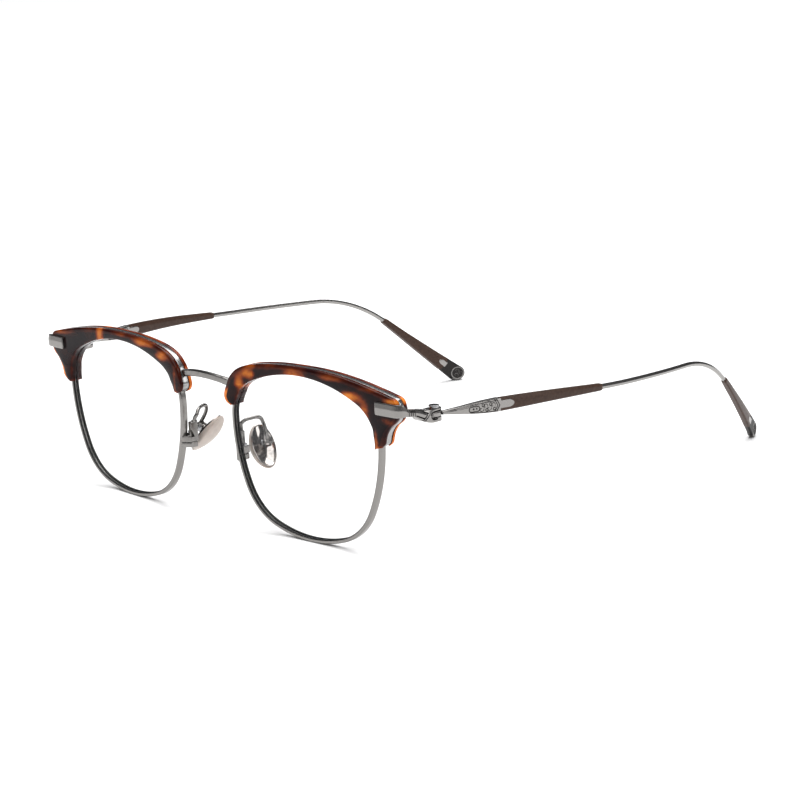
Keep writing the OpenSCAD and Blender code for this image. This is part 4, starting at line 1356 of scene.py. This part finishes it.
def cap_relief(s, h):
    """0 to 1: how low the engraving on the cap lies; a bright ring with bright curls inside."""
    ds = s - TEMPLE_LEN + 0.15
    r = np.hypot(ds, h)
    total = np.where((r > 1.95) & (ds < 0), 0.62, 0.0)
    total = np.where(r < 1.6, 0.8, total)
    for turn in (0, 1, 2):
        a = 2 * math.pi * turn / 3 + 0.5
        curl = scroll(ds, h, 0.78 * math.cos(a), 0.78 * math.sin(a), 1, 0.8)
        total = np.where(r < 1.55, total - 0.9 * curl, total)
    return np.clip(total, 0, 1)


def make_cap(name, side):
    """The engraved metal end of the tip, with its tongue into the sleeve."""
    columns = np.linspace(-1, 1, 49)
    ends = TEMPLE_LEN + (PADDLE_R - 0.009) * np.sin(np.linspace(0, 1, 34) * math.pi / 2)
    stations = np.concatenate([np.linspace(CAP_FROM, TEMPLE_LEN - 0.07, 70), ends])
    rings, lows = [], []
    for s in stations:
        if s < TEMPLE_LEN:
            half = height(TIP_H, s) - CAP_INSET
        else:
            reach = PADDLE_R - CAP_INSET
            half = math.sqrt(max(reach**2 - (s - TEMPLE_LEN) ** 2, 0.003))
        h = columns * half
        inset = PADDLE_R - np.hypot(max(s - TEMPLE_LEN, 0), h) if s > TEMPLE_LEN else half - np.abs(h)
        fall = 0.55 * np.clip(1 - inset / 0.5, 0, 1) ** 2
        low = cap_relief(s, h)
        outer = 1.0 - fall - 0.12 * low
        low = np.maximum(low, 0.22)
        rings.append(on_temple(s, np.concatenate([outer, -outer[::-1]]), np.concatenate([h, h[::-1]])))
        lows.append(np.concatenate([low, low[::-1]]))
    shape = Shape()
    shape.loft(place(np.array(rings), side))
    count = len(shape.verts)
    tongue = rounded(
        [(-1, -0.75), (-0.8, -1), (0.8, -1), (1, -0.75), (1, 0.75), (0.8, 1), (-0.8, 1), (-1, 0.75)],
        0.1, 3,
    )
    q = np.linspace(0, 1, 16)
    temple_loft(shape, CAP_TONGUE + 1.3 + 2.6 * q, tongue,
                lambda s: 0.12 + 0.78 * math.sqrt(min((s - CAP_TONGUE - 1.3) / 1.1, 1)),
                lambda s: 1.05, side)
    made = shape.build(f"tip_cap_{name}_relief", RELIEF, f"temple_{name}", [f"tip_cap_{name}"],
                       28)
    values = np.zeros(len(shape.verts))
    values[:count] = np.array(lows).ravel()
    face_attribute(made, "relief_and_shade", values)
    return made


for NAME, SIDE in SIDES.items():
    make_brow(NAME, SIDE)
    make_plate(NAME, SIDE)
    make_eyewire(NAME, SIDE)
    make_lens(NAME, SIDE)
    make_lug(NAME, SIDE)
    make_lug_screws(NAME, SIDE)
    make_hinge_parts(NAME, SIDE)
    make_lock(NAME, SIDE)
    make_pad(NAME, SIDE)
    make_pad_back(NAME, SIDE)
    make_arm(NAME, SIDE)
    make_temple(NAME, SIDE)
    make_sleeves(NAME, SIDE)
    make_cap(NAME, SIDE)
make_bridge()


# ---------------------------------------------------------------- camera, lights and floor
CAMERA_AT = Vector((0.51812, -0.48871, 0.19006))
CAMERA_AZIMUTH, CAMERA_ELEVATION, CAMERA_ROLL = 47.06, 13.67, -2.76
LENS_LENGTH = 120.86


def make_camera():
    """The camera, turned to its azimuth, elevation and roll."""
    data = bpy.data.cameras.new("camera")
    data.lens = LENS_LENGTH
    data.sensor_width = 36.0
    data.clip_start, data.clip_end = 0.01, 20.0
    data.shift_x = 0.0022
    camera = bpy.data.objects.new("camera", data)
    bpy.context.scene.collection.objects.link(camera)
    bpy.context.scene.camera = camera
    a, e, r = (math.radians(x) for x in (CAMERA_AZIMUTH, CAMERA_ELEVATION, CAMERA_ROLL))
    back = Vector((math.sin(a) * math.cos(e), -math.cos(a) * math.cos(e), math.sin(e)))
    right = Vector((math.cos(a), math.sin(a), 0))
    up = back.cross(right)
    rolled_right = right * math.cos(r) + up * math.sin(r)
    rolled_up = up * math.cos(r) - right * math.sin(r)
    matrix = camera.matrix_world.to_3x3()
    matrix.col[0], matrix.col[1], matrix.col[2] = rolled_right, rolled_up, back
    camera.matrix_world = matrix.to_4x4()
    camera.location = CAMERA_AT


def make_light(name, at, target, size, power):
    """A rectangular light that points at target."""
    data = bpy.data.lights.new(name, "AREA")
    data.shape = "RECTANGLE"
    data.size, data.size_y = size
    data.energy = power
    light = bpy.data.objects.new(name, data)
    bpy.context.scene.collection.objects.link(light)
    light.location = at
    light.rotation_euler = (Vector(target) - Vector(at)).to_track_quat("-Z", "Y").to_euler()


def make_sun(strength, width, from_way):
    """A very wide soft light from one direction, even over the whole floor."""
    data = bpy.data.lights.new("wide_light", "SUN")
    data.energy = strength
    data.angle = width
    light = bpy.data.objects.new("wide_light", data)
    bpy.context.scene.collection.objects.link(light)
    light.rotation_euler = Vector(from_way).to_track_quat("Z", "Y").to_euler()


def make_stage():
    """The floor, the background and the lights."""
    shape = bpy.data.meshes.new("floor")
    reach = 6.0
    shape.from_pydata([(-reach, -reach, 0), (reach, -reach, 0), (reach, reach, 0), (-reach, reach, 0)], [],
                      [(0, 1, 2, 3)])
    floor = bpy.data.objects.new("floor", shape)
    bpy.context.scene.collection.objects.link(floor)
    made, _, shader = material("floor_pale", (0.93, 0.93, 0.93), 0.9)
    shader.inputs["Specular IOR Level"].default_value = 0.1
    shape.materials.append(made)
    world = bpy.data.worlds.new("studio")
    world.use_nodes = True
    world.node_tree.nodes["Background"].inputs["Color"].default_value = (0.10, 0.10, 0.105, 1)
    world.node_tree.nodes["Background"].inputs["Strength"].default_value = 1.0
    bpy.context.scene.world = world
    bpy.context.scene.view_settings.view_transform = "Standard"
    make_sun(3.05, math.radians(70), (0.12, -0.22, 1.0))
    make_light("top_box", (-0.25, 0.35, 0.9), (0, 0, 0), (0.9, 0.5), 7)
    make_light("side_box", (0.9, 0.5, 0.5), (0, 0.02, 0.02), (0.35, 0.5), 2)


make_camera()
make_stage()
